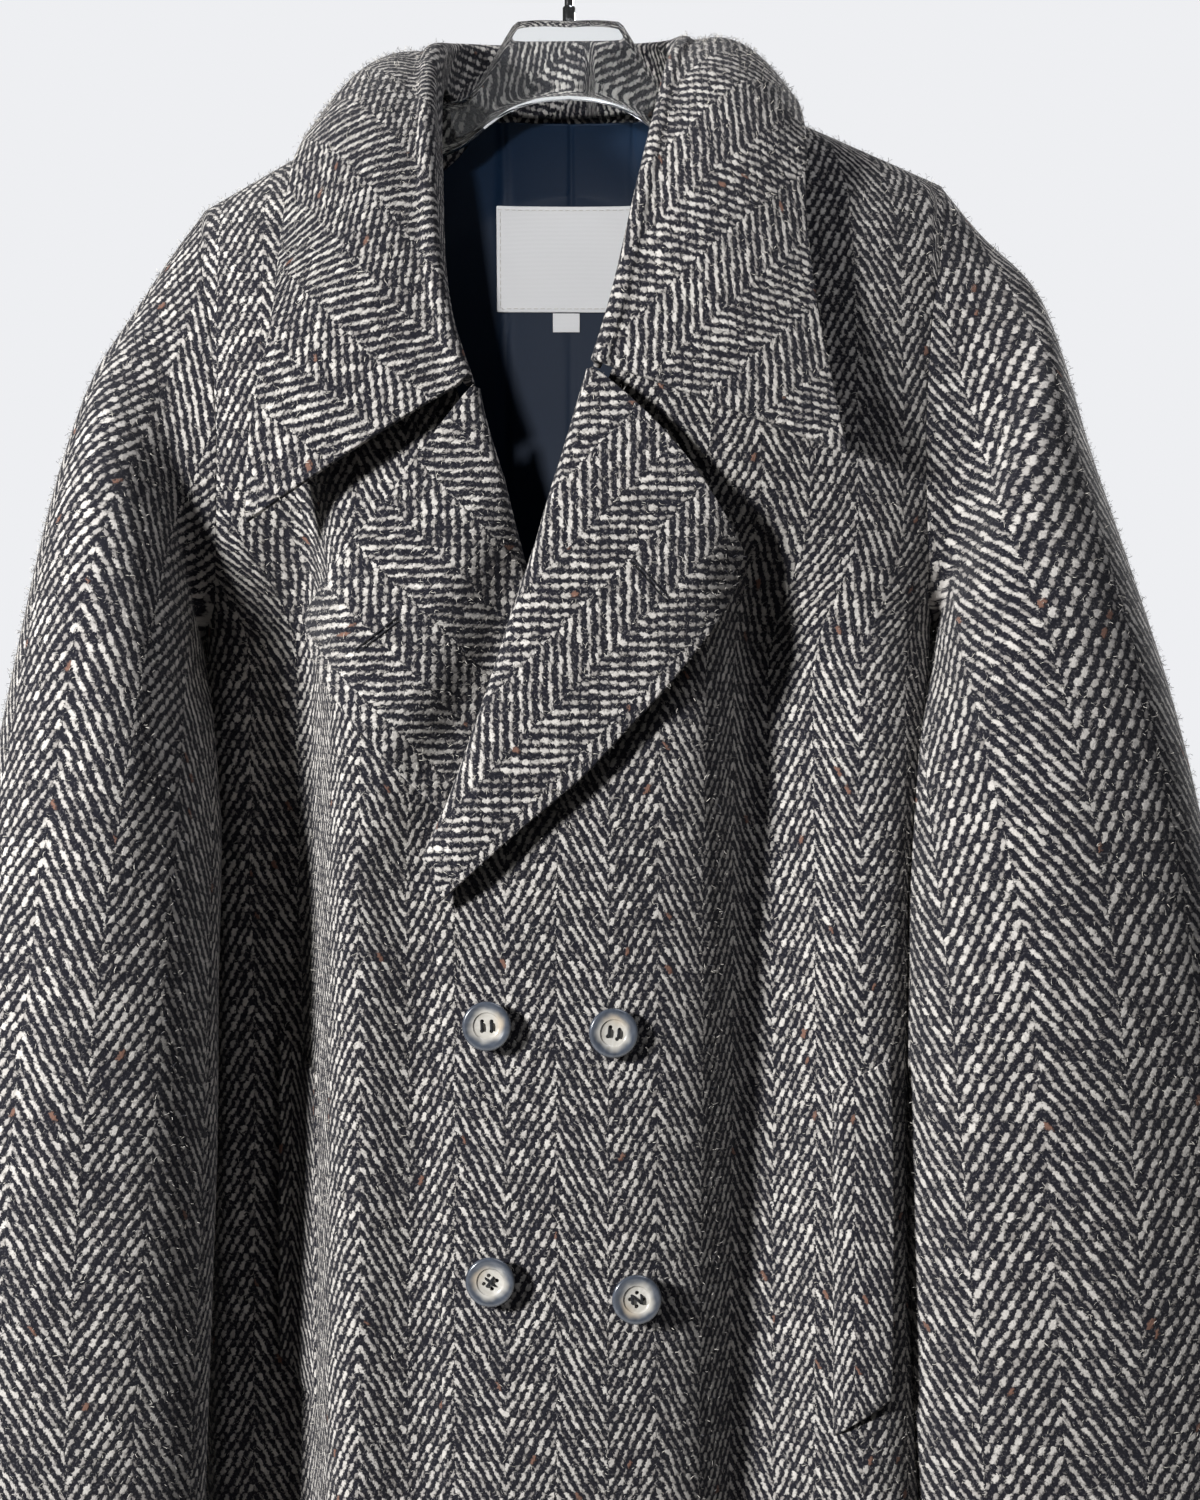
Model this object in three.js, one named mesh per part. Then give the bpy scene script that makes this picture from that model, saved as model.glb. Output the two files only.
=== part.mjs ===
// Double breasted wool overcoat on a clear hanger.
// Millimetres, +Z up. The origin is the inside top of the hook, the front faces -Y.
// Left and right are the wearer's, so the left front is at +X.
import * as THREE from 'three';

// Cloth walls
const COAT_CLOTH = 3;
const TURNED_CLOTH = 4.5;
const LINING_CLOTH = 1.2;
const LABEL_CLOTH = 0.8;
const SEAM_GAP = 0.3;

// Lengths of the coat
const ARMPIT_Z = -430;
const SEAM_Y = 5;
const FRONT_DEPTH = 128;
const BACK_DEPTH = 112;
const FALL_RATE = 9.5;
const NECK_HALF = 78;
const NECK_Z = -114;
const BACK_NECK_RISE = 38;
const FOLD_RADIUS = 7;
const OVERLAP_INSET = 9;
const LAPEL_INSET = 18;

// Columns and rows of a body panel
const PANEL_COLUMNS = 18;
const SKIRT_LEVELS = [-1240, -1120, -1000, -880, -770, -670, -580, -500];
const ARM_ROWS = 11;

// Seams of a sleeve, counted in points round the armhole from the armpit
const FRONT_SEAM = 1;
const BACK_SEAM = 15;

const COLOURS = {
  tweed: '#63636a',
  lining: '#1f2a36',
  label: '#cfcdc8',
  horn: '#8a8f95',
  acrylic: '#dfe3e4',
  chrome: '#c9ccd0',
};

// Each side of the body: half width by height
const SIDES = {
  left: {
    sign: 1,
    slope: 0.43,
    tip: 211,
    width: [
      { z: -1240, half: 232, power: 3 },
      { z: -1060, half: 207, power: 3.1 },
      { z: -900, half: 192, power: 3.2 },
      { z: -700, half: 186, power: 3.2 },
      { z: -560, half: 186, power: 3.2 },
      { z: -480, half: 192, power: 3.1 },
      { z: -430, half: 204, power: 3 },
      { z: -380, half: 218, power: 3 },
      { z: -300, half: 232, power: 3 },
      { z: -110, half: 246, power: 3 },
    ],
    armhole: [
      { rise: 0, x: 204 },
      { rise: 0.08, x: 197 },
      { rise: 0.4, x: 195 },
      { rise: 0.65, x: 199 },
      { rise: 0.85, x: 207 },
      { rise: 1, x: 211 },
    ],
  },
  right: {
    sign: -1,
    slope: 0.56,
    tip: 205,
    width: [
      { z: -1240, half: 236, power: 2.6 },
      { z: -1060, half: 212, power: 2.5 },
      { z: -900, half: 200, power: 2.5 },
      { z: -700, half: 194, power: 2.5 },
      { z: -560, half: 192, power: 2.6 },
      { z: -480, half: 196, power: 2.8 },
      { z: -430, half: 203, power: 2.9 },
      { z: -380, half: 216, power: 3 },
      { z: -300, half: 230, power: 3 },
      { z: -110, half: 246, power: 3 },
    ],
    armhole: [
      { rise: 0, x: 203 },
      { rise: 0.08, x: 193 },
      { rise: 0.4, x: 190 },
      { rise: 0.65, x: 194 },
      { rise: 0.85, x: 202 },
      { rise: 1, x: 205 },
    ],
  },
};

// Hanging folds: where the trough runs, how deep and how wide it is
const FOLDS = [
  { face: 'front', xTop: 104, xBottom: 74, zTop: -370, zBottom: -1240, full: 160, deep: 15, half: 24 },
  { face: 'front', xTop: -78, xBottom: -92, zTop: -560, zBottom: -1240, full: 120, deep: 8, half: 20 },
  { face: 'front', xTop: -166, xBottom: -168, zTop: -320, zBottom: -1240, full: 140, deep: 36, half: 24 },
  { face: 'front', xTop: -20, xBottom: 6, zTop: -900, zBottom: -1240, full: 200, deep: 10, half: 34 },
  { face: 'back', xTop: 70, xBottom: 104, zTop: -330, zBottom: -1240, full: 260, deep: 18, half: 36 },
  { face: 'back', xTop: -76, xBottom: -96, zTop: -360, zBottom: -1240, full: 240, deep: 16, half: 34 },
  { face: 'back', xTop: 10, xBottom: -6, zTop: -640, zBottom: -1240, full: 300, deep: 12, half: 40 },
];

// Roll lines of the lapels, from the gorge down to the break, and the front edges under them
const LEFT_OPENING = [
  { z: -1240, x: -65 },
  { z: -640, x: -65 },
  { z: -600, x: -68 },
  { z: -571, x: -75 },
  { z: -511, x: -50 },
  { z: -459, x: -32 },
  { z: -418, x: -19 },
  { z: -361, x: -1 },
  { z: -294, x: 22 },
  { z: -251, x: 39 },
  { z: -194, x: 53 },
  { z: -147, x: 65 },
  { z: -118, x: 76 },
];
const RIGHT_OPENING = [
  { z: -1240, x: 55 },
  { z: -660, x: 55 },
  { z: -610, x: 40 },
  { z: -571, x: 12 },
  { z: -501, x: -5 },
  { z: -417, x: -25 },
  { z: -349, x: -42 },
  { z: -301, x: -57 },
  { z: -258, x: -70 },
  { z: -224, x: -77 },
  { z: -170, x: -80 },
  { z: -118, x: -82 },
];

// Lapels: a row for each line from the roll to the outer edge
const LAPEL_LEFT = [
  { rollX: 18, rollZ: -290, edgeX: 94.5, edgeZ: -386, swell: 7 },
  { rollX: 12, rollZ: -311, edgeX: 89, edgeZ: -407, swell: 4 },
  { rollX: 5, rollZ: -335, edgeX: 76, edgeZ: -430, swell: 1 },
  { rollX: -3, rollZ: -361, edgeX: 55, edgeZ: -456, swell: 0 },
  { rollX: -10.5, rollZ: -387, edgeX: 32.6, edgeZ: -480, swell: 0 },
  { rollX: -21, rollZ: -418, edgeX: 9, edgeZ: -505, swell: 0 },
  { rollX: -34, rollZ: -459, edgeX: -23, edgeZ: -532, swell: 0 },
  { rollX: -52, rollZ: -511, edgeX: -50, edgeZ: -556, swell: 0 },
  { rollX: -69, rollZ: -551, edgeX: -67, edgeZ: -571, swell: 0 },
];
const LAPEL_RIGHT = [
  { rollX: -52.5, rollZ: -300, edgeX: -144, edgeZ: -416, swell: -3 },
  { rollX: -50, rollZ: -313, edgeX: -143, edgeZ: -431, swell: 0 },
  { rollX: -45, rollZ: -331, edgeX: -138, edgeZ: -441, swell: 0 },
  { rollX: -39, rollZ: -350, edgeX: -128, edgeZ: -456, swell: 0 },
  { rollX: -34, rollZ: -371, edgeX: -114, edgeZ: -473, swell: 0 },
  { rollX: -28, rollZ: -394, edgeX: -96, edgeZ: -493, swell: 0 },
  { rollX: -23, rollZ: -417, edgeX: -75, edgeZ: -514, swell: 0 },
  { rollX: -13, rollZ: -459, edgeX: -49, edgeZ: -535, swell: 0 },
  { rollX: -3, rollZ: -501, edgeX: -23, edgeZ: -553, swell: 0 },
  { rollX: 7, rollZ: -543, edgeX: 0, edgeZ: -566, swell: 0 },
];

// Across a lapel: share of the way from roll to edge, distance past the roll, height off the front
const LAPEL_SECTION = [
  { share: 0, past: 5.4, off: -3 },
  { share: 0, past: 7.2, off: 2 },
  { share: 0, past: 6, off: 7.5 },
  { share: 0, past: 2, off: 11 },
  { share: 0.14, past: 0, off: 13 },
  { share: 0.35, past: 0, off: 14 },
  { share: 0.58, past: 0, off: 14 },
  { share: 0.8, past: 0, off: 13.5 },
  { share: 1, past: 0, off: 13 },
];

// Collar: a row for each section, from the wearer's left front round the neck to the right front
const COLLAR = [
  { foldX: 15, foldY: -103, foldZ: -285, footX: 14, footY: -86, footZ: -286, edgeX: 149, edgeY: -108, edgeZ: -335, swell: 5 },
  { foldX: 26, foldY: -99, foldZ: -247, footX: 27, footY: -74, footZ: -250, edgeX: 142, edgeY: -101, edgeZ: -300, swell: 6 },
  { foldX: 38, foldY: -86, foldZ: -191, footX: 43, footY: -56, footZ: -200, edgeX: 133, edgeY: -93, edgeZ: -247, swell: 8 },
  { foldX: 48, foldY: -63, foldZ: -144, footX: 57, footY: -34, footZ: -165, edgeX: 129, edgeY: -80, edgeZ: -196, swell: 10 },
  { foldX: 56, foldY: -33, foldZ: -107, footX: 66, footY: -14, footZ: -139, edgeX: 131, edgeY: -59, edgeZ: -156, swell: 12 },
  { foldX: 62, foldY: 3, foldZ: -87, footX: 71, footY: 6, footZ: -116, edgeX: 127, edgeY: 5, edgeZ: -121, swell: 12 },
  { foldX: 54, foldY: 38, foldZ: -79, footX: 57, footY: 35, footZ: -117, edgeX: 112, edgeY: 64, edgeZ: -143, swell: 14 },
  { foldX: 30, foldY: 58, foldZ: -75, footX: 31, footY: 46, footZ: -119, edgeX: 66, edgeY: 94, edgeZ: -164, swell: 14 },
  { foldX: -6, foldY: 64, foldZ: -74, footX: -6, footY: 50, footZ: -120, edgeX: -6, edgeY: 104, edgeZ: -170, swell: 14 },
  { foldX: -42, foldY: 57, foldZ: -76, footX: -43, footY: 43, footZ: -119, edgeX: -79, edgeY: 94, edgeZ: -166, swell: 14 },
  { foldX: -65, foldY: 35, foldZ: -81, footX: -65, footY: 23, footZ: -117, edgeX: -122, edgeY: 64, edgeZ: -148, swell: 14 },
  { foldX: -74, foldY: 0, foldZ: -92, footX: -70, footY: 4, footZ: -117, edgeX: -140, edgeY: 5, edgeZ: -136, swell: 12 },
  { foldX: -75, foldY: -36, foldZ: -118, footX: -70, footY: -16, footZ: -142, edgeX: -150, edgeY: -55, edgeZ: -168, swell: 12 },
  { foldX: -74, foldY: -67, foldZ: -154, footX: -68, footY: -40, footZ: -172, edgeX: -154, edgeY: -82, edgeZ: -222, swell: 10 },
  { foldX: -69, foldY: -94, foldZ: -223, footX: -65, footY: -64, footZ: -228, edgeX: -157, edgeY: -95, edgeZ: -267, swell: 8 },
  { foldX: -62, foldY: -103, foldZ: -261, footX: -59, footY: -78, footZ: -264, edgeX: -167, edgeY: -100, edgeZ: -316, swell: 6 },
  { foldX: -51, foldY: -108, foldZ: -295, footX: -48, footY: -89, footZ: -296, edgeX: -169, edgeY: -107, edgeZ: -371, swell: 5 },
];

// Sleeves: outer and inner ends of each ring and its front and back
const SLEEVE_LEFT = [
  { outX: 233, outZ: -199, inX: 207, inZ: -437, front: -72, back: 72 },
  { outX: 261, outZ: -229, inX: 208, inZ: -446, front: -88, back: 72 },
  { outX: 274, outZ: -267, inX: 206, inZ: -460, front: -102, back: 68 },
  { outX: 288, outZ: -324, inX: 200, inZ: -478, front: -116, back: 58 },
  { outX: 304, outZ: -380, inX: 191, inZ: -505, front: -128, back: 40 },
  { outX: 327, outZ: -461, inX: 184, inZ: -560, front: -138, back: 18 },
  { outX: 345, outZ: -545, inX: 180.5, inZ: -625, front: -141, back: 2 },
  { outX: 358, outZ: -630, inX: 179.5, inZ: -700, front: -140, back: -8 },
  { outX: 368, outZ: -720, inX: 180, inZ: -775, front: -136, back: -17 },
  { outX: 374, outZ: -815, inX: 183, inZ: -845, front: -130, back: -26 },
  { outX: 376, outZ: -912, inX: 187, inZ: -912, front: -124, back: -34 },
];
const SLEEVE_RIGHT = [
  { outX: 224, outZ: -212, inX: 206, inZ: -437, front: -70, back: 72 },
  { outX: 243, outZ: -244, inX: 206, inZ: -447, front: -86, back: 72 },
  { outX: 262, outZ: -280, inX: 204, inZ: -462, front: -100, back: 66 },
  { outX: 276, outZ: -326, inX: 200, inZ: -480, front: -114, back: 54 },
  { outX: 287, outZ: -380, inX: 194, inZ: -508, front: -126, back: 34 },
  { outX: 301, outZ: -460, inX: 187, inZ: -560, front: -136, back: 12 },
  { outX: 316, outZ: -545, inX: 183, inZ: -625, front: -139, back: -2 },
  { outX: 330, outZ: -630, inX: 182, inZ: -700, front: -138, back: -9 },
  { outX: 341, outZ: -720, inX: 183, inZ: -775, front: -134, back: -17 },
  { outX: 348, outZ: -815, inX: 186, inZ: -845, front: -129, back: -26 },
  { outX: 350, outZ: -912, inX: 194, inZ: -912, front: -124, back: -34 },
];

// Welts: the slanting pocket mouths, by their four corners on the front
const WELTS = {
  left: { inX: 141, inTop: -671, inBottom: -853, outX: 170, outTop: -653, outBottom: -833 },
  right: { inX: -136, inTop: -668, inBottom: -846, outX: -160, outTop: -644, outBottom: -824 },
};
const WELT_CLOTH = 3;

// Buttons by name
const BUTTONS = [
  { name: 'button_1', x: -40.8, z: -635 },
  { name: 'button_2', x: 25.3, z: -638.5 },
  { name: 'button_3', x: -38.8, z: -768 },
  { name: 'button_4', x: 37.2, z: -777 },
];
const BUTTON_RADIUS = 13;
const BUTTON_SHANK = 0.45;
const BUTTON_PROFILE = [
  { r: 0, z: 0 },
  { r: 9, z: 0 },
  { r: 12.2, z: 1.2 },
  { r: 13, z: 2.6 },
  { r: 12.2, z: 4 },
  { r: 10.4, z: 4.2 },
  { r: 7.6, z: 3.4 },
  { r: 6.6, z: 2.7 },
  { r: 0, z: 2.5 },
];

// Hanger: upper and lower outline and half thickness, out from the hook
const HANGER_Y = 5;
const HANGER = [
  { x: 0, top: -77, bottom: -121, half: 5.5 },
  { x: 14, top: -76.5, bottom: -122, half: 5.5 },
  { x: 29, top: -77.5, bottom: -126, half: 5.5 },
  { x: 34, top: -84, bottom: -128, half: 5.5 },
  { x: 47, top: -106, bottom: -137, half: 5.5 },
  { x: 60, top: -122, bottom: -148, half: 6 },
  { x: 82, top: -126, bottom: -157, half: 6.5 },
  { x: 120, top: -143, bottom: -170, half: 7 },
  { x: 160, top: -165, bottom: -188, half: 7 },
  { x: 188, top: -181, bottom: -202, half: 6.5 },
  { x: 197, top: -189, bottom: -203, half: 4 },
];
const HOOK_WIRE = 2.5;
const HOOK_RADIUS = 24;
const FERRULE_RADIUS = 3.6;

// Lining: half width at each height
const LINING = [
  { z: -123, left: 50, right: 52 },
  { z: -138, left: 60, right: 60 },
  { z: -165, left: 100, right: 90 },
  { z: -200, left: 156, right: 140 },
  { z: -250, left: 184, right: 178 },
  { z: -340, left: 185, right: 180 },
  { z: -430, left: 184, right: 180 },
  { z: -520, left: 170, right: 163 },
  { z: -640, left: 166, right: 158 },
  { z: -800, left: 170, right: 160 },
  { z: -980, left: 184, right: 176 },
  { z: -1190, left: 208, right: 202 },
];
const LABEL = { x: -1.2, width: 84, top: -169, height: 61 };
const SIZE_TAB = { x: -2, width: 16, height: 11 };

// Smooth reading of a table between its rows
function read(table, key, at, name) {
  const rising = table[0][key] < table[table.length - 1][key];
  const rows = rising ? table : [...table].reverse();
  const last = rows.length - 1;
  if (at <= rows[0][key]) return rows[0][name];
  if (at >= rows[last][key]) return rows[last][name];
  let i = 0;
  while (at > rows[i + 1][key]) i += 1;
  const slope = (n) => (rows[n + 1][name] - rows[n][name]) / (rows[n + 1][key] - rows[n][key]);
  const tangent = (n) => {
    if (n === 0 || n === last) return slope(Math.min(n, last - 1));
    const a = slope(n - 1);
    const b = slope(n);
    return a * b <= 0 ? 0 : (2 * a * b) / (a + b);
  };
  const wide = rows[i + 1][key] - rows[i][key];
  const t = (at - rows[i][key]) / wide;
  const t2 = t * t;
  const t3 = t2 * t;
  return rows[i][name] * (2 * t3 - 3 * t2 + 1)
    + tangent(i) * wide * (t3 - 2 * t2 + t)
    + rows[i + 1][name] * (3 * t2 - 2 * t3)
    + tangent(i + 1) * wide * (t3 - t2);
}

function smooth(t) {
  const c = Math.min(1, Math.max(0, t));
  return c * c * (3 - 2 * c);
}

function sideOf(x) {
  return x >= 0 ? SIDES.left : SIDES.right;
}

// Height of the shoulder line, and of the back neck
function shoulderZ(x, face) {
  const out = Math.abs(x) - NECK_HALF;
  if (out > 0) return NECK_Z - out * sideOf(x).slope;
  if (face === 'front') return NECK_Z;
  return NECK_Z + BACK_NECK_RISE * (1 - (x / NECK_HALF) ** 2);
}

// How far a trough pushes the cloth in
function foldDepth(face, x, z) {
  let deep = 0;
  for (const fold of FOLDS) {
    if (fold.face !== face) continue;
    const t = (z - fold.zTop) / (fold.zBottom - fold.zTop);
    const middle = fold.xTop + (fold.xBottom - fold.xTop) * t;
    const start = smooth((fold.zTop - z) / fold.full);
    const off = (x - middle) / fold.half;
    deep += fold.deep * start * Math.exp(-off * off);
  }
  return deep;
}

// How far the under front lies behind the outer one
function insetOf(x, z) {
  const edge = read(LEFT_OPENING, 'z', z, 'x');
  const reach = smooth((x - edge + 48) / 42);
  const deep = z < -600 ? OVERLAP_INSET : LAPEL_INSET;
  const blend = z < -560 && z > -660 ? LAPEL_INSET + (OVERLAP_INSET - LAPEL_INSET) * smooth((-560 - z) / 100) : deep;
  const start = smooth((-330 - z) / 70);
  return reach * blend * start;
}

// Depth of the body at a place on its front or back
function surfaceY(face, x, z, plain = false) {
  const side = sideOf(x);
  const half = read(side.width, 'z', z, 'half');
  const power = read(side.width, 'z', z, 'power');
  const drop = Math.max(0, shoulderZ(x, face) - z);
  const share = Math.min(1, Math.abs(x) / half);
  const bend = (1 - share ** power) ** (1 / power);
  const full = face === 'front' ? FRONT_DEPTH : BACK_DEPTH;
  const deep = full * (1 - Math.exp(-Math.sqrt(drop) / FALL_RATE)) * bend;
  const ease = smooth(drop / 60) * Math.min(1, bend * 1.6);
  const push = plain ? 0 : foldDepth(face, x, z) * ease;
  return face === 'front' ? SEAM_Y - deep + push : SEAM_Y + deep - push;
}

// Closed wall from a grid of outer points; the grid's normals may be set along its edges
function wall(rows, thick, options = {}) {
  const closed = options.closed ?? false;
  const n = rows.length;
  const m = rows[0].length;
  const normals = rows.map((row, i) => row.map((point, j) => {
    const set = options.normal ? options.normal(i, j) : null;
    if (set) return set.clone().normalize();
    const up = rows[Math.max(0, i - 1)][j];
    const down = rows[Math.min(n - 1, i + 1)][j];
    const left = closed ? row[(j + m - 1) % m] : row[Math.max(0, j - 1)];
    const right = closed ? row[(j + 1) % m] : row[Math.min(m - 1, j + 1)];
    const along = down.clone().sub(up);
    const across = right.clone().sub(left);
    const normal = across.cross(along).normalize();
    return options.flip ? normal.negate() : normal;
  }));
  const points = [];
  for (const row of rows) points.push(...row);
  rows.forEach((row, i) => row.forEach((point, j) => {
    points.push(point.clone().addScaledVector(normals[i][j], -thick));
  }));
  const at = (i, j) => i * m + (j % m);
  const inner = n * m;
  const faces = [];
  const quad = (a, b, c, d) => {
    if (options.flip) faces.push([a, b, c], [a, c, d]);
    else faces.push([a, c, b], [a, d, c]);
  };
  const last = closed ? m : m - 1;
  for (let i = 0; i < n - 1; i += 1) {
    for (let j = 0; j < last; j += 1) {
      quad(at(i, j), at(i + 1, j), at(i + 1, j + 1), at(i, j + 1));
      quad(inner + at(i, j + 1), inner + at(i + 1, j + 1), inner + at(i + 1, j), inner + at(i, j));
    }
  }
  for (let j = 0; j < last; j += 1) {
    quad(inner + at(0, j), at(0, j), at(0, j + 1), inner + at(0, j + 1));
    quad(at(n - 1, j), inner + at(n - 1, j), inner + at(n - 1, j + 1), at(n - 1, j + 1));
  }
  if (!closed) {
    for (let i = 0; i < n - 1; i += 1) {
      quad(at(i, 0), inner + at(i, 0), inner + at(i + 1, 0), at(i + 1, 0));
      quad(at(i, m - 1), at(i + 1, m - 1), inner + at(i + 1, m - 1), inner + at(i, m - 1));
    }
  }
  return solid(points, faces);
}

function solid(points, faces) {
  const geometry = new THREE.BufferGeometry();
  const list = points.flatMap((p) => [p.x, p.y, p.z]);
  geometry.setAttribute('position', new THREE.Float32BufferAttribute(list, 3));
  geometry.setIndex(faces.flat());
  geometry.computeVertexNormals();
  return geometry;
}

const v = (x, y, z) => new THREE.Vector3(x, y, z);

// Levels above the armpit crowd towards the armpit and the shoulder seam
function armRise(row) {
  return 0.5 - 0.5 * Math.cos((Math.PI * row) / ARM_ROWS);
}

// A point of the armhole, from the armpit (0) to the shoulder tip
function armholePoint(side, face, row) {
  const rise = armRise(row);
  const x = side.sign * read(side.armhole, 'rise', rise, 'x');
  const top = shoulderZ(x, face);
  const z = ARMPIT_Z + (top - ARMPIT_Z) * rise;
  const y = row === 0 || row === ARM_ROWS ? SEAM_Y : surfaceY(face, x, z);
  return v(x, y, z);
}

// Outward direction round the armhole
function armholeNormal(side, point) {
  const middle = (ARMPIT_Z + shoulderZ(side.sign * side.tip, 'front')) / 2;
  return v(0, point.y - SEAM_Y, point.z - middle).normalize();
}

// Top edge of a front under the collar, and of the back at the neck
function panelTop(face, x, opening) {
  const out = Math.abs(x) - NECK_HALF;
  if (out >= 0) return shoulderZ(x, face);
  if (face === 'back') return NECK_Z - 3 * (1 - (x / NECK_HALF) ** 2);
  const end = opening[opening.length - 2];
  if (Math.abs(end.x) >= NECK_HALF) return NECK_Z;
  const share = Math.min(1, -out / (NECK_HALF - Math.abs(end.x)));
  return NECK_Z + (end.z - NECK_Z) * share;
}

// One body panel as a grid from hem to shoulder and from its middle edge to the side
function panelGrid(side, face, opening) {
  const grid = [];
  const levels = SKIRT_LEVELS.length;
  const total = levels + ARM_ROWS + 1;
  for (let r = 0; r < total; r += 1) {
    const armRow = r - levels;
    const rise = armRow < 0 ? 0 : armRise(armRow);
    const row = [];
    for (let c = 0; c <= PANEL_COLUMNS; c += 1) {
      row.push(panelPoint(side, face, opening, r, armRow, rise, c / PANEL_COLUMNS));
    }
    grid.push(row);
  }
  return grid;
}

function panelPoint(side, face, opening, r, armRow, rise, share) {
  const below = armRow < 0;
  let z = below ? SKIRT_LEVELS[r] : ARMPIT_Z;
  let x = 0;
  const gap = SEAM_GAP / 2;
  for (let turn = 0; turn < 6; turn += 1) {
    const half = read(side.width, 'z', z, 'half');
    const power = read(side.width, 'z', z, 'power');
    const inner = opening ? side.sign * read(opening, 'z', z, 'x') : gap;
    const outer = below ? half : read(side.armhole, 'rise', rise, 'x');
    const angle = (at) => Math.asin(Math.sign(at) * Math.min(1, Math.abs(at) / half) ** (power / 2));
    const turned = angle(inner) + (angle(outer) - angle(inner)) * share;
    x = side.sign * Math.sign(turned) * half * Math.abs(Math.sin(turned)) ** (2 / power);
    if (!below) z = ARMPIT_Z + (panelTop(face, x, opening) - ARMPIT_Z) * rise;
  }
  const toward = face === 'front' ? -1 : 1;
  if (!below && share === 1) {
    const point = armholePoint(side, face, armRow);
    if (armRow === 0 || armRow === ARM_ROWS) point.y += toward * gap;
    return point;
  }
  let y = surfaceY(face, x, z);
  if (face === 'front' && side.sign < 0) y += insetOf(x, z);
  if (below && share === 1) y = SEAM_Y + toward * gap;
  if (armRow === ARM_ROWS && Math.abs(x) >= NECK_HALF) y = SEAM_Y + toward * gap;
  return v(x, y, z);
}

// Lean of the centre back seam at a row
function middleLean(grid, i) {
  const up = grid[Math.min(grid.length - 1, i + 1)][0];
  const down = grid[Math.max(0, i - 1)][0];
  return (down.y - up.y) / (up.z - down.z);
}

// Wall of a body panel with the directions of its seams set
function bodyPanel(side, face, opening) {
  const grid = panelGrid(side, face, opening);
  const lastRow = grid.length - 1;
  const flip = (side.sign < 0) !== (face === 'back');
  const normal = (i, j) => {
    const point = grid[i][j];
    const armRow = i - SKIRT_LEVELS.length;
    if (face === 'back' && j === 0) return v(0, 1, middleLean(grid, i));
    if (i === lastRow && Math.abs(point.x) >= NECK_HALF) return v(side.sign * side.slope, 0, 1);
    if (j === PANEL_COLUMNS && armRow <= 0) return v(side.sign, 0, 0);
    if (j === PANEL_COLUMNS) {
      const share = Math.max(0, 1 - armRow / 3);
      return armholeNormal(side, point).multiplyScalar(1 - share).add(v(side.sign * share, 0, 0));
    }
    return null;
  };
  return wall(grid, COAT_CLOTH, { flip, normal });
}

// Sleeve rings: the first is the armhole, the others come from the table
function sleeveRings(side, table) {
  const half = ARM_ROWS;
  const rings = [];
  const first = [];
  for (let k = 0; k < half * 2; k += 1) {
    const face = k <= half ? 'front' : 'back';
    const row = k <= half ? k : half * 2 - k;
    const point = armholePoint(side, face, row);
    point.x += side.sign * SEAM_GAP;
    first.push(point);
  }
  rings.push(first);
  table.forEach((ring, index) => {
    const points = [];
    const middleX = (ring.outX + ring.inX) / 2;
    const middleZ = (ring.outZ + ring.inZ) / 2;
    const armX = (ring.outX - ring.inX) / 2;
    const armZ = (ring.outZ - ring.inZ) / 2;
    const middleY = (ring.front + ring.back) / 2;
    const armY = (ring.back - ring.front) / 2;
    const keep = Math.max(0, 1 - (index + 1) / 3);
    for (let k = 0; k < half * 2; k += 1) {
      const angle = Math.PI * (1 + k / half);
      const round = v(middleX + armX * Math.cos(angle), 0, middleZ + armZ * Math.cos(angle));
      round.y = middleY + armY * Math.sin(angle);
      const hole = first[k];
      const along = (hole.z - first[0].z) / (first[half].z - first[0].z);
      const like = v(
        ring.inX + (ring.outX - ring.inX) * along,
        hole.y,
        ring.inZ + (ring.outZ - ring.inZ) * along,
      );
      points.push(round.lerp(like, keep));
    }
    rings.push(points.map((p) => v(p.x * side.sign, p.y, p.z)));
  });
  return rings;
}

// Part of a sleeve between two seams
function sleevePart(side, rings, from, to) {
  const count = ARM_ROWS * 2;
  const grid = rings.map((ring) => {
    const row = [];
    for (let k = from; k <= to; k += 1) row.push(ring[(k + count) % count].clone());
    shift(row, 0, 1);
    shift(row, row.length - 1, row.length - 2);
    return row;
  });
  const full = rings.map((ring) => ring.map((p) => p.clone()));
  const normal = (i, j) => {
    const k = (from + j + count) % count;
    const point = full[i][k];
    if (i === 0) return armholeNormal(side, point);
    const next = full[i][(k + 1) % count];
    const before = full[i][(k + count - 1) % count];
    const up = full[i - 1][k];
    const down = full[Math.min(full.length - 1, i + 1)][k];
    const out = next.clone().sub(before).cross(down.clone().sub(up)).normalize();
    return side.sign > 0 ? out.negate() : out;
  };
  return wall(grid, COAT_CLOTH, { flip: side.sign > 0, normal });
}

// Moves a seam point half a gap towards its neighbour
function shift(row, from, to) {
  const way = row[to].clone().sub(row[from]).normalize();
  row[from].addScaledVector(way, SEAM_GAP / 2);
}

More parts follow.
